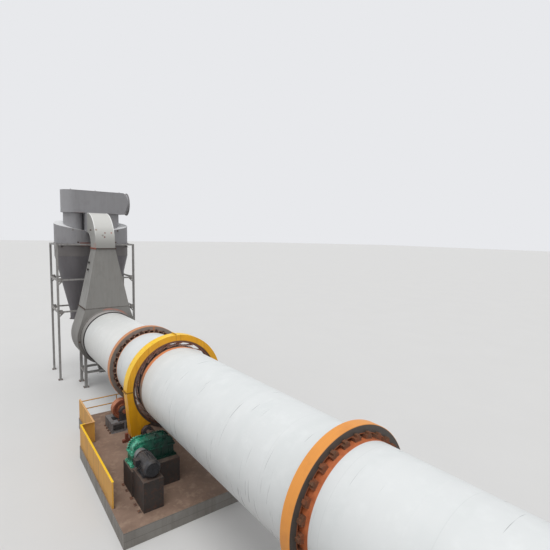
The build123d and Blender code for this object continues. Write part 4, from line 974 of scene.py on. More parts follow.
def drive_base_paint(colours):
    """Dark steel plinths, painted darker still as the shade under the drive, with the angle posts
    under the guard in rust.
    """
    # painted shade: the plinths' dark steel and its darker patches
    f = Finish("drive_base_shaded_steel", shade(58, 52, 49), 0.7)
    tree = f.tree
    x, y, _ = separate(tree, place_coordinates(tree))
    f.coat(patches, (3.0, 2.0, 0.4, 0.7), shade(42, 38, 36), 0.8)
    f.coat(dust, (3.0, 0.3, 0.6), shade(116, 98, 86), 0.7, 0.9)
    f.lay(times(tree, band(tree, x, -0.17, 0.2, 0.05), ramp(tree, y, -1.62, -1.68)),
          shade(122, 62, 42), 0.9, 0.85)
    f.coat(patches, (9.0, 9.0, 0.5, 0.7), colours.dark_rust, 0.5, 0.85)
    f.coat(wear, (0.012, 6.0, 0.4, 0.6), shade(130, 104, 88), 0.45)
    return f.done(45.0, 4.0, 0.4, 0.5, distance=0.004, strength=0.6)


MATERIALS = {}


def build_materials(colours):
    MATERIALS.update(
        drum=drum_paint(colours),
        tyre=tyre_steel(colours),
        pads=pad_steel(colours),
        lug=rusty_steel("stop_lug_steel", colours, shade(150, 134, 116), 0.15),
        rust_bolt=rusty_steel("rusty_bolts", colours, shade(88, 76, 70), 0.25),
        dark_bolt=rusty_steel("dark_bolts", colours, shade(58, 54, 54), 0.15),
        gear=gear_steel(colours),
        spring=spring_steel(colours),
        guard=guard_yellow(colours),
        roller=roller_steel(),
        bearing=machine_paint("bearing_paint", shade(62, 60, 64), shade(86, 84, 88),
                              shade(40, 38, 40), colours, 0.5, 0.45, 0.6),
        base=machine_paint("base_grey", colours.base, shade(148, 147, 148), shade(88, 86, 86),
                           colours, 0.4, 0.6, 0.4),
        coupling=machine_paint("coupling_grey", shade(116, 118, 119), shade(144, 146, 147),
                               shade(80, 80, 82), colours, 0.3, 0.45, 0.4),
        tower=machine_paint("tower_grey", colours.tower, shade(184, 182, 179),
                            shade(120, 117, 115), colours, 0.35, 0.6, 0.5),
        gearbox=gearbox_paint("gearbox_green", colours.green, shade(24, 120, 96),
                              shade(8, 44, 38), colours),
        # the cover is a lighter copy of the housing's green: painted light on the gearbox's top
        gearbox_cover=gearbox_paint("gearbox_cover_lit_green", shade(22, 120, 94),
                                    shade(60, 172, 138), shade(10, 66, 54), colours),
        motor=motor_paint(colours),
        drive_base=drive_base_paint(colours),
        concrete=cast_concrete(colours),
        fence=fence_paint(colours),
        hood=hood_paint(colours),
        duct=duct_paint(colours),
        cyclone=cyclone_paint(colours),
        cone=sheet_coats("cone_grey", shade(114, 111, 114), shade(130, 127, 129),
                         shade(92, 88, 92), colours).done(),
        roof=sheet_coats("roof_grey", colours.roof, shade(236, 237, 238), shade(196, 196, 196),
                         colours, dusty=0.1).done())


NODE_FINISHES = {
    "drum": ("drum_shell",),
    "tyre": ("discharge_tyre", "feed_tyre"),
    "pads": ("discharge_tyre_pads", "feed_tyre_pads"),
    "gear": ("girth_gear", "drive_pinion"),
    "spring": ("gear_springs",),
    "guard": ("gear_guard_upper", "gear_guard_lower"),
    "roller": ("discharge_roller_near", "discharge_roller_far", "feed_roller_near",
               "feed_roller_far"),
    "bearing": ("discharge_roller_bearings", "feed_roller_bearings", "pinion_bearings"),
    "base": ("discharge_roller_bases", "feed_roller_bases"),
    "gearbox": ("gearbox_housing",),
    "gearbox_cover": ("gearbox_cover",),
    "motor": ("motor",),
    "coupling": ("motor_coupling",),
    "drive_base": ("drive_base",),
    "concrete": ("drive_platform", "feed_pedestal"),
    "fence": ("fence_roller_side", "fence_drive_side", "fence_discharge_end"),
    "hood": ("discharge_hood", "hood_collar", "hood_chute", "feed_hood", "feed_collar"),
    "duct": ("riser_duct", "gooseneck_duct"),
    "cyclone": ("cyclone_barrel_left", "cyclone_barrel_right", "vortex_tubes", "outlet_plenum"),
    "cone": ("cyclone_cones",),
    "roof": ("cyclone_roofs",),
    "tower": ("tower_frame", "hood_legs", "feed_hood_legs"),
}


def dress_all():
    """Gives every node of the frame its finish."""
    for finish, nodes in NODE_FINISHES.items():
        for node in nodes:
            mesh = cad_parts[node].data
            mesh.materials.clear()
            mesh.materials.append(MATERIALS[finish])


# Pieces


def make_drum_fittings(sizes):
    bm = bmesh.new()
    for x in SHELL_SEAM_XS:
        hoop(bm, across(x), SHELL_R, sizes.bead / 4, steps=128)
    finish_piece("shell_weld_seams", bm, "drum", "drum")

    bm = bmesh.new()
    for (end, x), i, side in product(TYRE_XS.items(), range(PAD_COUNT), SIDES):
        edge = x + side * (TYRE_HALF + PAD_OVERHANGS[end])
        bead(bm, (edge, -PAD_HALF_WIDTH, SHELL_R), (edge, PAD_HALF_WIDTH, SHELL_R), sizes.bead,
             round_axis(i / PAD_COUNT))
    finish_piece("seat_pad_welds", bm, "pads", "drum")

    bm = bmesh.new()
    for i, side in product(range(STOP_LUG_COUNT), SIDES):
        x = TYRE_XS["discharge"] + side * (TYRE_HALF + 0.045)
        plate(bm, round_axis(i / STOP_LUG_COUNT) @ at(x, 0, SHELL_R + 0.045), STOP_LUG, 0.004)
    finish_piece("tyre_stop_lugs", bm, "lug", "drum")


def make_gear_fittings(sizes):
    bm = bmesh.new()
    x = GEAR_MIDDLE
    top = SHELL_R + SPRING_THICKNESS
    for i in range(SPRING_COUNT):
        turned = round_axis(i / SPRING_COUNT, SPRING_START)
        for y in (0.06, 0.15, SPRING_LENGTH - 0.16):
            bolt_row(bm, (x - 0.08, y, top), (x + 0.08, y, top), 0.08, UP, sizes.bolt, turned)
        bead(bm, (x - 0.115, 0, SHELL_R + 0.004), (x + 0.115, 0, SHELL_R + 0.004), sizes.bead,
             turned)
        plate(bm, turned @ at(x, SPRING_LENGTH - 0.07, top + 0.015), (0.2, 0.08, 0.03), 0.005)
    finish_piece("spring_plate_bolts", bm, "spring", "drum")

    bm = bmesh.new()
    for (side, face), z, rise in product(CORNERS, (-0.05, 0.05), (0.035, 0.085)):
        point = (GEAR_MIDDLE + face * GEAR_HALF, side * (GEAR_BORE_R + rise), z)
        bolt(bm, on_axis(point, (face, 0, 0)), 0.015)
    finish_piece("gear_joint_bolts", bm, "gear", "drum")


def make_guard_fittings(sizes):
    bm = bmesh.new()
    out = GUARD_R + GUARD_FLANGE_OUT
    back, front = 0.05 - GUARD_DEPTH, -0.05
    for side, face in CORNERS:
        y, z = side * out, face * GUARD_JOINT_HALF
        bolt_row(bm, (back, y, z), (front, y, z), GUARD_BOLT_PITCH, (0, 0, face), sizes.bolt,
                 ON_AXIS)
    for face in SIDES:
        y = face * GUARD_JOINT_HALF
        bolt_row(bm, (back, y, out), (front, y, out), GUARD_BOLT_PITCH, (0, face, 0), sizes.bolt,
                 ON_AXIS)
    finish_piece("guard_joint_bolts", bm, "dark_bolt")

    bm = bmesh.new()
    for x in (-0.004, -GUARD_DEPTH + 0.004):
        hoop(bm, across(x), GUARD_R - 0.003, 0.006, sweep=math.pi, start=QUARTER)
    finish_piece("guard_rim_welds", bm, "guard")


def bearing_bolts(bm, x, y, z, housing, sizes):
    """Cap, foot and cover bolts of a bearing housing."""
    width, drop, r = housing
    for side, end in CORNERS:
        bolt_x = x + end * width * 0.3
        bolt(bm, on_axis((bolt_x, y + side * 1.13 * r, z + r / 8), UP), sizes.bolt)
        bolt(bm, on_axis((bolt_x, y + side * 1.33 * r, z - drop + r / 4), UP), sizes.anchor)
    for end in SIDES:
        bolt_circle(bm, on_axis((x + end * width / 2, y, z), (end, 0, 0)), 0.86 * r, 8,
                    0.6 * sizes.bolt, math.pi / 8)


def make_roller_fittings(sizes):
    bolts, lids = bmesh.new(), bmesh.new()
    for station, (side, end) in product(TYRE_XS.values(), CORNERS):
        x = station + end * BEARING_OFFSET
        y = side * ROLLER_Y
        bearing_bolts(bolts, x, y, ROLLER_Z, ROLLER_BEARING, sizes)
        nipple = on_axis((x, y, ROLLER_Z + 0.184), UP)
        disc(lids, nipple, 0.03, 0.012)
        disc(lids, nipple, 0.012, 0.035, 0.012, segments=8, top=0.007)
        for cap in SIDES:
            place = on_axis((x + cap * 0.096, y, ROLLER_Z), (cap, 0, 0))
            hoop(lids, place, 0.15, 0.006, steps=32)
    finish_piece("roller_bearing_bolts", bolts, "dark_bolt")
    finish_piece("roller_bearing_caps", lids, "bearing")

    anchors, beads = bmesh.new(), bmesh.new()
    for node, side in product(("discharge_roller_bases", "feed_roller_bases"), SIDES):
        low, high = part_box(node)
        y_out = side * max(abs(low.y), abs(high.y))
        y_in = y_out - side * ROLLER_BASE_DEPTH
        for y, i in product((y_out + side * 0.04, y_in - side * 0.04), range(4)):
            x = low.x + 0.12 + i * (high.x - low.x - 0.24) / 3
            foot(anchors, x, y, low.z, (0.12, 0.08, 0.022), ((0, 0),), sizes.anchor)
        foot_z = low.z + 0.004
        for y in (y_out, y_in):
            bead(beads, (low.x, y, foot_z), (high.x, y, foot_z), sizes.bead)
        middle = (y_out + y_in) / 2 - 0.035
        for x in (low.x, high.x):
            bead(beads, (x, min(y_out, y_in), foot_z), (x, max(y_out, y_in), foot_z), sizes.bead)
            bead(beads, (x, middle, low.z + 0.07), (x, middle, low.z + 0.5), sizes.bead)
    finish_piece("roller_base_anchors", anchors, "rust_bolt")
    finish_piece("roller_base_welds", beads, "base")


def make_gearbox_fittings(sizes):
    (x0, x1), (y0, y1) = GEARBOX_XS, GEARBOX_YS
    z = PINION_Z
    bolts, bosses = bmesh.new(), bmesh.new()
    for x, way in product((x0 - 0.02, x1 + 0.02), (1, -1)):
        bolt_row(bolts, (x, y0 + 0.05, z + way * 0.03), (x, y1 - 0.05, z + way * 0.03), 0.13,
                 (0, 0, way), sizes.bolt, ON_AXIS)
    for x in (x0 - 0.04, x1 + 0.04):
        bolt_row(bolts, (x, y0 - 0.03, z - 0.36), (x, y1 + 0.03, z - 0.36), 0.3, UP,
                 sizes.anchor, ON_AXIS)

    # bosses along the cover's rim: round the large wheel, over the top, round the small wheel
    left, right = y0 + 0.385, y1 - 0.366
    rim = []
    for i in range(8):
        angle = math.radians(12 + i * 13)
        rim.append((left - 0.375 * math.cos(angle), min(0.385 * math.sin(angle), 0.36)))
    rim += [(left + 0.12 + i * (right - left - 0.16) / 4, 0.35) for i in range(5)]
    for i in range(5):
        angle = math.radians(82 - i * 17)
        rim.append((right + 0.352 * math.cos(angle), 0.352 * math.sin(angle)))
    for x, way in zip((x0, x1), SIDES):
        for y, rise in rim:
            place = on_axis((x - way * 0.05, y, z + rise), (way, 0, 0))
            disc(bosses, place, 0.036, 0.07, segments=14)
            bolt(bolts, place @ at(0, 0, 0.07), 0.9 * sizes.bolt)
        for y, r in ((left, 0.15), (-1.45, 0.12), (right + 0.01, 0.14)):
            place = on_axis((x, y, z + 0.12), (way, 0, 0))
            disc(bosses, place, r, 0.03, segments=40)
            disc(bosses, place, 0.7 * r, 0.05, segments=32)
            bolt_circle(bolts, place @ at(0, 0, 0.03), 0.85 * r, 8, 0.6 * sizes.bolt)

    # inspection hatch with its breather, between two lifting lugs
    middle = (x0 + x1) / 2
    hatch = ON_AXIS @ at(middle, -1.55, z + 0.348)
    plate(bosses, hatch, (0.34, 0.42, 0.03), 0.006)
    for side in SIDES:
        x = middle + side * 0.14
        bolt_row(bolts, (x, -1.73, z + 0.363), (x, -1.37, z + 0.363), 0.12, UP, 0.7 * sizes.bolt,
                 ON_AXIS)
        lug(bosses, ON_AXIS @ at(middle, -1.6 + side * 0.42, z + 0.33), 0.11, sizes.plate)
    disc(bosses, hatch @ at(0.05, 0.1, 0.0), 0.03, 0.08, segments=16)
    disc(bosses, hatch @ at(0.05, 0.1, 0.07), 0.045, 0.03, segments=16, top=0.03)
    finish_piece("gearbox_bolts", bolts, "gearbox")
    finish_piece("gearbox_bosses", bosses, "gearbox")


def make_motor_fittings(sizes):
    """The fan cover's grille, the terminal box and the bolts of the motor."""
    bm = bmesh.new()
    y, z = MOTOR_Y, PINION_Z
    for i in range(5):
        hoop(bm, on_axis((MOTOR_BACK, y, z), (1, 0, 0)), 0.06 + 0.038 * i, 0.005, steps=40)
    centre = Vector((MOTOR_BACK - 0.001, y, z))
    for i in range(6):
        angle = math.tau * i / 6
        tip = Vector((0, math.cos(angle), math.sin(angle)))
        bead(bm, centre + tip * 0.03, centre + tip * 0.215, 0.005, ON_AXIS)
    bolt_circle(bm, on_axis((2.005, y, z), (-1, 0, 0)), 0.1, 6, 0.7 * sizes.bolt)
    for x, side in product((2.2, 2.66), SIDES):
        bolt(bm, on_axis((x, y + side * 0.225, z - 0.287), UP), sizes.bolt)
    lug(bm, ON_AXIS @ at(2.42, y, z + 0.262), 0.12, sizes.plate)
    x = TERMINAL_BOX_X
    plate(bm, ON_AXIS @ at(x, y - 0.375, z + 0.07), (0.27, 0.016, 0.21), 0.005)
    for dx, dz in product((-0.11, 0.11), (-0.01, 0.15)):
        bolt(bm, on_axis((x + dx, y - 0.383, z + dz), (0, -1, 0)), 0.012)
    disc(bm, on_axis((x, y - 0.3, z - 0.026), DOWN), 0.026, 0.05)
    bolt_circle(bm, on_axis((2.16, y, z), (-1, 0, 0)), 0.262, 8, 0.6 * sizes.bolt, math.pi / 8)
    finish_piece("motor_fittings", bm, "motor")


def make_drive_fittings(sizes):
    bm = bmesh.new()
    for x in PINION_BEARING_XS:
        bearing_bolts(bm, x, PINION_Y, PINION_Z, PINION_BEARING, sizes)
    finish_piece("pinion_bearing_bolts", bm, "dark_bolt")

    make_gearbox_fittings(sizes)
    make_motor_fittings(sizes)

    bm = bmesh.new()
    for x in PINION_COUPLING_XS:
        bolt_circle(bm, on_axis((x, PINION_Y, PINION_Z), (1, 0, 0)), 0.15, 10, sizes.bolt)
    finish_piece("pinion_coupling_bolts", bm, "rust_bolt", "pinion")

    bm = bmesh.new()
    for y, xs in DRIVE_ANCHORS:
        for x in xs:
            foot(bm, x, y, FOUNDATION_TOP, (0.14, 0.09, 0.022), ((0, -0.005),), sizes.anchor)
    finish_piece("drive_base_anchors", bm, "rust_bolt")


def make_fence_fittings():
    bm = bmesh.new()
    for start, end, y in FENCES:
        gaps = max(2, round((end - start) / FENCE_POST_PITCH))
        for i in range(gaps + 1):
            foot(bm, start + (end - start) * i / gaps, y, FOUNDATION_TOP, (0.11, 0.09, 0.012),
                 ((-0.035, 0.02), (0.035, 0.02)), 0.014)
    finish_piece("fence_foot_plates", bm, "rust_bolt")

    bm = bmesh.new()
    low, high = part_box("fence_discharge_end")
    for i in range(4):
        y = low.y + 0.045 + (high.y - low.y - 0.09) * i / 3
        place = at((low.x + high.x) / 2, y, FOUNDATION_TOP)
        disc(bm, place, 0.06, 0.01, segments=16)
        bolt_circle(bm, place @ at(0, 0, 0.01), 0.043, 4, 0.011, math.pi / 4)
    finish_piece("rail_foot_plates", bm, "rust_bolt")


def make_pedestal_fittings():
    """Cast-in edge angles along the top of the feed end's foundation."""
    bm = bmesh.new()
    low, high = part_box("feed_pedestal")
    for y in (low.y + 0.038, high.y - 0.038):
        plate(bm, at((low.x + high.x) / 2, y, high.z - 0.002), (high.x - low.x - 0.02, 0.08, 0.012))
    finish_piece("pedestal_edge_angles", bm, "rust_bolt")


def leg_feet(bolts, plates, xs, half_y, sizes, reach, start, depth):
    """Anchor bolts and stiffening plates round the feet of four legs."""
    for x, y in product(xs, (-half_y, half_y)):
        top = at(x, y, LEG_FOOT_TOP)
        for dx, dy in CORNERS:
            bolt(bolts, top @ at(dx * reach, dy * reach, 0), sizes.anchor)
        for i in range(4):
            gusset(plates, top @ spun(i * QUARTER, "Z") @ at(start, 0, 0), depth, sizes.plate)


def make_hood_fittings(sizes):
    low_z, high_z = (AXIS_HEIGHT + x * math.tan(INCLINE) for x in (HOOD_FRONT, FEED_HOOD_BACK))
    xs, feed_xs = (HOOD_BACK, HOOD_FRONT), (FEED_HOOD_BACK, FEED_HOOD_FRONT)
    top = low_z + HOOD_R
    bm = bmesh.new()
    neck_xs = (HOOD_BACK, HOOD_FRONT - 0.05)
    flange_bolts(bm, neck_xs, HOOD_NECK_HALF, top + 0.014, sizes, ends=(0,))
    flange_bolts(bm, neck_xs, HOOD_NECK_HALF, top - 0.014, sizes, -1, ends=())
    flange_bolts(bm, feed_xs, HOOD_NECK_HALF, high_z + HOOD_R, sizes)
    finish_piece("hood_flange_bolts", bm, "dark_bolt")

    beads = bmesh.new()
    for x, z in [(x, low_z) for x in xs] + [(x, high_z) for x in feed_xs]:
        hoop(beads, at(x, 0, z) @ spun(QUARTER, "Y"), HOOD_R - 0.004, sizes.bead, steps=80,
             sweep=math.radians(276), start=math.radians(-138))
    bead(beads, (HOOD_FRONT, -HOOD_NECK_HALF, top), (HOOD_FRONT, HOOD_NECK_HALF, top), sizes.bead)
    for (x, z), side in product(((HOOD_FRONT, low_z), (FEED_HOOD_BACK, high_z)), SIDES):
        bead(beads, (x, side * 1.715, z + 0.12), (x, side * HOOD_NECK_HALF, z + HOOD_R - 0.01),
             0.6 * sizes.bead)
    for x in COLLAR_SEAM_XS:
        hoop(beads, across(x), COLLAR_SEAM_R, sizes.bead, steps=96)
    finish_piece("hood_weld_beads", beads, "hood")

    # a bolted clean-out door on each hood's outer end, with a frame and hinges
    doors, latches = bmesh.new(), bmesh.new()
    for x, z, way in ((HOOD_BACK, low_z, -1), (FEED_HOOD_FRONT, high_z, 1)):
        place = at(x + way * 0.008, 0, z + 0.1)
        plate(doors, place, (0.016, 0.9, 1.2), 0.004)
        plate(doors, place @ at(way * 0.012, 0, 0), (0.016, 0.74, 1.04), 0.004)
        face = x + way * 0.016
        for y in (-0.41, 0.41):
            bolt_row(latches, (face, y, z - 0.44), (face, y, z + 0.64), 0.18, (way, 0, 0),
                     sizes.bolt)
        for rise in (-0.54, 0.7):
            bolt_row(latches, (face, -0.3, z + rise), (face, 0.3, z + rise), 0.2, (way, 0, 0),
                     sizes.bolt)
        for rise in (-0.2, 0.4):
            disc(latches, at(x + way * 0.028, 0.4, z + rise), 0.016, 0.14)
    finish_piece("hood_door_panels", doors, "hood")
    finish_piece("hood_door_bolts", latches, "dark_bolt")

    bolts, plates = bmesh.new(), bmesh.new()
    for back, front in (xs, feed_xs):
        leg_feet(bolts, plates, (back + 0.3, front - 0.3), HOOD_LEG_Y, sizes, 0.11, 0.066, 0.08)
    finish_piece("hood_leg_anchors", bolts, "rust_bolt")
    finish_piece("hood_leg_gussets", plates, "tower")

    bm = bmesh.new()
    low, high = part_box("hood_chute")
    z = low.z + 0.014
    for x in (low.x + 0.03, high.x - 0.03):
        bolt_row(bm, (x, low.y + 0.03, z), (x, high.y - 0.03, z), 0.12, UP, sizes.bolt)
    finish_piece("chute_flange_bolts", bm, "dark_bolt")


def make_duct_fittings(sizes):
    back, front = BEND_CENTRE.x + BEND_INNER_R, BEND_CENTRE.x + BEND_OUTER_R
    bm = bmesh.new()
    for way in (1, -1):
        flange_bolts(bm, (back, front), DUCT_HALF, DUCT_JOINT_Z + way * 0.014, sizes, way)
    finish_piece("duct_flange_bolts", bm, "dark_bolt")

    beads = bmesh.new()
    for side in SIDES:
        y = side * DUCT_HALF
        for r in (BEND_OUTER_R, BEND_INNER_R):
            hoop(beads, at(BEND_CENTRE.x, y, BEND_CENTRE.z) @ spun(QUARTER, "X"), r, sizes.bead,
                 steps=40, sweep=QUARTER)
        for x in (back, front):
            bead(beads, (x, y, DUCT_JOINT_Z + 0.02), (x, y, BEND_CENTRE.z), sizes.bead)
    finish_piece("gooseneck_edge_welds", beads, "duct")

    beads = bmesh.new()
    base = AXIS_HEIGHT + HOOD_FRONT * math.tan(INCLINE) + HOOD_R
    for side, (low_x, high_x) in product(SIDES, ((HOOD_FRONT, front), (HOOD_BACK, back))):
        bead(beads, (low_x, side * HOOD_NECK_HALF, base + 0.02),
             (high_x, side * DUCT_HALF, DUCT_JOINT_Z - 0.02), sizes.bead)
    finish_piece("riser_edge_welds", beads, "duct")

    bm = bmesh.new()
    share = (RISER_LUG_Z - base) / (DUCT_JOINT_Z - base)
    x = HOOD_FRONT + (front - HOOD_FRONT) * share - 0.02
    lug(bm, at(x, 0.434, RISER_LUG_Z) @ spun(QUARTER, "Z"), 0.16, sizes.plate)
    finish_piece("riser_lug", bm, "duct")

    bm = bmesh.new()
    for side in SIDES:
        place = facing((-11.687, side * DUCT_HALF, 9.405), (0, side, 0))
        disc(bm, place, 0.05, 0.02, segments=16)
        disc(bm, place, 0.032, 0.05, 0.02, segments=16)
    for (y, z), side in product(((-1.15, 4.04), (-1.61, 2.88)), SIDES):
        place = facing((HOOD_FRONT, side * y, z), (1, 0, 0))
        disc(bm, place, 0.045, 0.016, segments=16)
        bolt(bm, place @ at(0, 0, 0.016), 1.4 * sizes.bolt)
    finish_piece("duct_studs", bm, "dark_bolt")


def make_cyclone_fittings(sizes):
    beads, bolts, brackets, studs = (bmesh.new() for _ in range(4))
    taper = (CYCLONE_R - CONE_TIP_R) / (CYCLONE_SEAM_Z - CONE_TIP_Z)
    seams = [(CYCLONE_SEAM_Z, CYCLONE_R, sizes.bead, 72)]
    seams += [(z, CONE_TIP_R + taper * (z - CONE_TIP_Z), 0.8 * sizes.bead, 64)
              for z in CONE_SEAM_ZS]
    seams += [(PLENUM_ZS[0] - 0.005, TUBE_R + 0.004, sizes.bead, 56),
              (CONE_TIP_Z, CONE_TIP_R + 0.002, sizes.bead, 40)]
    for side in SIDES:
        y = side * CYCLONE_Y
        centre = at(CYCLONE_X, y, 0)
        for z, r, size, steps in seams:
            hoop(beads, centre @ at(0, 0, z), r, size, steps=steps)
        for i in range(20):
            angle = math.tau * (i + 0.5) / 20
            dx, dy = CYCLONE_BOLT_R * math.cos(angle), CYCLONE_BOLT_R * math.sin(angle)
            # the two rings touch in the middle, where neither has room for a bolt
            if abs(y + dy) > 0.06:
                bolt(bolts, centre @ at(dx, dy, CYCLONE_RING_Z + 0.03), sizes.bolt)
        bolt_circle(bolts, centre @ at(0, 0, DUST_FLANGE_Z), DUST_FLANGE_R, 12, sizes.bolt)
        for i in range(4):
            turned = centre @ spun(math.pi / 4 + i * QUARTER, "Z")
            gusset(brackets, turned @ at(CYCLONE_R, 0, CYCLONE_BRACKET_Z), 0.22, sizes.plate)
        for angle, z, size in ((3, 8.625, 0.05), (side * 11, 9.39, 0.045 if side > 0 else 0.03)):
            way = Vector((math.cos(math.radians(angle)), math.sin(math.radians(angle)), 0))
            place = facing(Vector((CYCLONE_X, y, z)) + (CYCLONE_R - 0.004) * way, way)
            disc(studs, place, size, 0.03, segments=16)
            disc(studs, place, 0.7 * size, 0.05, 0.03, segments=16)
    finish_piece("cyclone_weld_seams", beads, "cyclone")
    finish_piece("cyclone_ring_bolts", bolts, "dark_bolt")
    finish_piece("cyclone_brackets", brackets, "cyclone")
    finish_piece("cyclone_studs", studs, "dark_bolt")


def make_plenum_fittings(sizes):
    front, back = CYCLONE_X + PLENUM_HALF, CYCLONE_X - PLENUM_HALF
    beads = bmesh.new()
    for x, z in product((front, back), PLENUM_ZS):
        bead(beads, (x, -CYCLONE_Y, z), (x, PLENUM_END, z), sizes.bead)
    for z in PLENUM_ZS:
        hoop(beads, at(CYCLONE_X, -CYCLONE_Y, z), PLENUM_HALF, sizes.bead, steps=32,
             sweep=math.pi, start=math.pi)
    finish_piece("plenum_edge_welds", beads, "cyclone")

    lugs = bmesh.new()
    for x, y in product((front - 0.04, back + 0.04), (-1.35, 0.1, 1.6)):
        lug(lugs, at(x, y, PLENUM_ZS[1]) @ spun(QUARTER, "Z"), 0.058, sizes.plate)
    finish_piece("plenum_lugs", lugs, "cyclone")

    bolts = bmesh.new()
    flange_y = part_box("outlet_plenum")[1].y - 0.03
    bolt_circle(bolts, facing((CYCLONE_X, flange_y, sum(PLENUM_ZS) / 2), (0, -1, 0)), 0.727, 28,
                sizes.bolt)
    finish_piece("plenum_flange_bolts", bolts, "dark_bolt")


def make_tower_fittings(sizes):
    bolts, plates = bmesh.new(), bmesh.new()
    xs = (CYCLONE_X - TOWER_HALF, CYCLONE_X + TOWER_HALF)
    leg_feet(bolts, plates, xs, TOWER_FOOT_Y, sizes, 0.085, 0.052, 0.055)
    for x, side, z, face in product(xs, SIDES, TOWER_LEVELS, SIDES):
        plate(plates, at(x + face * 0.054, side * TOWER_BEAM_Y, z), (sizes.plate, 0.26, 0.26))
        for dy, dz in product((-0.08, 0.06), (-0.08, 0.08)):
            point = (x + face * 0.061, side * (TOWER_BEAM_Y + dy), z + dz)
            bolt(bolts, facing(point, (face, 0, 0)), 0.8 * sizes.bolt)
    finish_piece("tower_gussets", plates, "tower")
    finish_piece("tower_bolts", bolts, "dark_bolt")


# Stage

FLOOR_SIZE = 400
SKY_LIGHT = (0.96, 0.975, 1.0, 1.0)
SKY_STRENGTH = 0.66
# each lamp's strength, the angle it spans and its turn about x, y and z, in degrees
SUNS = {
    "overcast_key": (1.35, 35, (14, 12, 0)),
    "side_fill": (0.13, 60, (62, 0, 40)),
}
CAMERA_LENS = 26.645
CAMERA_SENSOR = 36.0
CAMERA_PLACE = (15.078, -6.380, 9.347)
CAMERA_TURN = (84.3763, -1.2259, 53.5109)


def seen_ray(tree):
    """1 for the rays that show floor and backdrop, 0 for those that carry light."""
    path = add_node(tree, "ShaderNodeLightPath").outputs
    return maths(tree, "MAXIMUM", path["Is Camera Ray"], maths(
        tree, "MAXIMUM", path["Is Glossy Ray"], path["Is Transmission Ray"]))


def place_object(name, data, turn=(0, 0, 0)):
    """A new object of the scene, turned by degrees about x, y and z."""
    made = bpy.data.objects.new(name, data)
    made.rotation_euler = [math.radians(angle) for angle in turn]
    bpy.context.scene.collection.objects.link(made)
    return made


def make_floor(colours):
    bm = bmesh.new()
    bmesh.ops.create_grid(bm, x_segments=1, y_segments=1, size=FLOOR_SIZE)
    mesh = bpy.data.meshes.new("studio_floor")
    bm.to_mesh(mesh)
    bm.free()
    f = Finish("studio_floor", colours.floor, 0.9)
    f.coat(patches, (0.3, 0.3, 0.3, 0.8), shade(208, 207, 205), 0.4)
    f.lay(outside(f.tree, seen_ray(f.tree)), shade(150, 148, 146))
    mesh.materials.append(f.done())
    place_object("studio_floor", mesh)


def make_stage(colours):
    scene = bpy.context.scene
    scene.view_settings.view_transform = "Standard"
    make_floor(colours)

    scene.world = bpy.data.worlds.new("studio_sky")
    scene.world.use_nodes = True
    tree = scene.world.node_tree
    tree.nodes.clear()
    light = add_node(tree, "ShaderNodeBackground", {"Color": SKY_LIGHT, "Strength": SKY_STRENGTH})
    shown = add_node(tree, "ShaderNodeBackground", {"Color": paint(colours.sky), "Strength": 1.0})
    mix = add_node(tree, "ShaderNodeMixShader", {
        0: seen_ray(tree), 1: light.outputs[0], 2: shown.outputs[0]})
    add_node(tree, "ShaderNodeOutputWorld", {"Surface": mix.outputs[0]})

    for name, (strength, spread, turn) in SUNS.items():
        lamp = bpy.data.lights.new(name, "SUN")
        lamp.energy = strength
        lamp.angle = math.radians(spread)
        place_object(name, lamp, turn)

    camera = bpy.data.cameras.new("yard_view")
    camera.sensor_width = CAMERA_SENSOR
    camera.lens = CAMERA_LENS
    camera.clip_end = 500.0
    scene.camera = place_object("yard_view", camera, CAMERA_TURN)
    scene.camera.location = CAMERA_PLACE


# Operators, panel and registration


class DRYER_OT_stage(bpy.types.Operator):
    """Floor, light, camera and the finishes of every node"""
    bl_idname = "dryer.stage"
    bl_label = "Stage and finishes"

    def execute(self, context):
        build_groups()
        build_materials(context.scene.dryer_colours)
        dress_all()
        make_stage(context.scene.dryer_colours)
        return {"FINISHED"}


class DRYER_OT_drum(bpy.types.Operator):
    """Weld seams of the shell, welds of the tyres' seat pads and stop lugs"""
    bl_idname = "dryer.drum"
    bl_label = "Drum fittings"

    def execute(self, context):
        make_drum_fittings(context.scene.dryer_sizes)
        return {"FINISHED"}


class DRYER_OT_gear(bpy.types.Operator):
    """Bolts of the girth gear and its spring plates"""
    bl_idname = "dryer.gear"
    bl_label = "Gear fittings"

    def execute(self, context):
        make_gear_fittings(context.scene.dryer_sizes)
        return {"FINISHED"}


class DRYER_OT_guard(bpy.types.Operator):
    """Bolts and welds of the gear guard"""
    bl_idname = "dryer.guard"
    bl_label = "Guard fittings"

    def execute(self, context):
        make_guard_fittings(context.scene.dryer_sizes)
        return {"FINISHED"}


class DRYER_OT_rollers(bpy.types.Operator):
    """Bolts, caps and anchors of the roller stations"""
    bl_idname = "dryer.rollers"
    bl_label = "Roller fittings"

    def execute(self, context):
        make_roller_fittings(context.scene.dryer_sizes)
        return {"FINISHED"}


class DRYER_OT_drive(bpy.types.Operator):
    """Bolts, bosses and fittings of the gearbox, motor and pinion"""
    bl_idname = "dryer.drive"
    bl_label = "Drive fittings"

    def execute(self, context):
        make_drive_fittings(context.scene.dryer_sizes)
        return {"FINISHED"}


class DRYER_OT_fences(bpy.types.Operator):
    """Foot plates of the fences and edge angles of the feed end's foundation"""
    bl_idname = "dryer.fences"
    bl_label = "Fence fittings"

    def execute(self, context):
        make_fence_fittings()
        make_pedestal_fittings()
        return {"FINISHED"}


class DRYER_OT_hoods(bpy.types.Operator):
    """Flange bolts, welds, doors and feet of both hoods"""
    bl_idname = "dryer.hoods"
    bl_label = "Hood fittings"

    def execute(self, context):
        make_hood_fittings(context.scene.dryer_sizes)
        return {"FINISHED"}


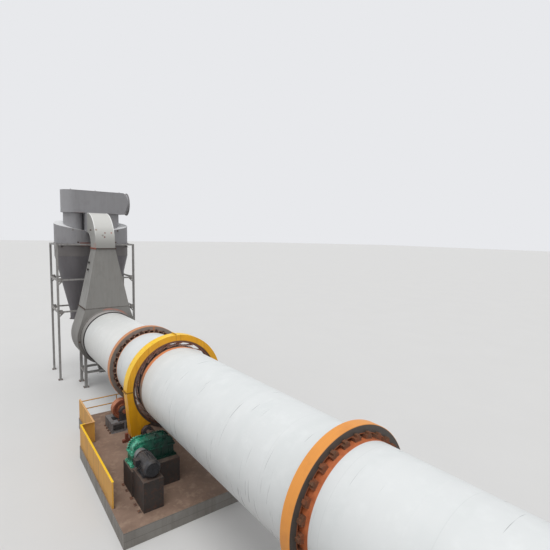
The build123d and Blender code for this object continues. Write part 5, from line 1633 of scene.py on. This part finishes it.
class DRYER_OT_ducts(bpy.types.Operator):
    """Flange bolts, welds, studs and lug of the riser and the gooseneck"""
    bl_idname = "dryer.ducts"
    bl_label = "Duct fittings"

    def execute(self, context):
        make_duct_fittings(context.scene.dryer_sizes)
        return {"FINISHED"}


class DRYER_OT_cyclones(bpy.types.Operator):
    """Seams, ring bolts, brackets, studs and plenum fittings of the cyclones"""
    bl_idname = "dryer.cyclones"
    bl_label = "Cyclone fittings"

    def execute(self, context):
        make_cyclone_fittings(context.scene.dryer_sizes)
        make_plenum_fittings(context.scene.dryer_sizes)
        return {"FINISHED"}


class DRYER_OT_tower(bpy.types.Operator):
    """Gusset plates, bolts and feet of the steel tower"""
    bl_idname = "dryer.tower"
    bl_label = "Tower fittings"

    def execute(self, context):
        make_tower_fittings(context.scene.dryer_sizes)
        return {"FINISHED"}


OPERATORS = (
    DRYER_OT_stage, DRYER_OT_drum, DRYER_OT_gear, DRYER_OT_guard, DRYER_OT_rollers,
    DRYER_OT_drive, DRYER_OT_fences, DRYER_OT_hoods, DRYER_OT_ducts, DRYER_OT_cyclones,
    DRYER_OT_tower)


class DRYER_PT_panel(bpy.types.Panel):
    """Sizes, colours and steps of the dryer's dressing"""
    bl_idname = "DRYER_PT_panel"
    bl_label = "Slag dryer"
    bl_space_type = "VIEW_3D"
    bl_region_type = "UI"
    bl_category = "Dryer"

    def draw(self, context):
        for values in (context.scene.dryer_sizes, context.scene.dryer_colours):
            box = self.layout.box()
            for name in values.__annotations__:
                box.prop(values, name)
        for operator in OPERATORS:
            self.layout.operator(operator.bl_idname)


CLASSES = (DryerSizes, DryerColours) + OPERATORS + (DRYER_PT_panel,)


def register():
    for item in CLASSES:
        bpy.utils.register_class(item)
    bpy.types.Scene.dryer_sizes = bpy.props.PointerProperty(type=DryerSizes)
    bpy.types.Scene.dryer_colours = bpy.props.PointerProperty(type=DryerColours)


def unregister():
    del bpy.types.Scene.dryer_colours
    del bpy.types.Scene.dryer_sizes
    for item in reversed(CLASSES):
        bpy.utils.unregister_class(item)


def main():
    register()
    bpy.ops.dryer.stage()
    bpy.ops.dryer.drum()
    bpy.ops.dryer.gear()
    bpy.ops.dryer.guard()
    bpy.ops.dryer.rollers()
    bpy.ops.dryer.drive()
    bpy.ops.dryer.fences()
    bpy.ops.dryer.hoods()
    bpy.ops.dryer.ducts()
    bpy.ops.dryer.cyclones()
    bpy.ops.dryer.tower()


if __name__ == "__main__":
    main()
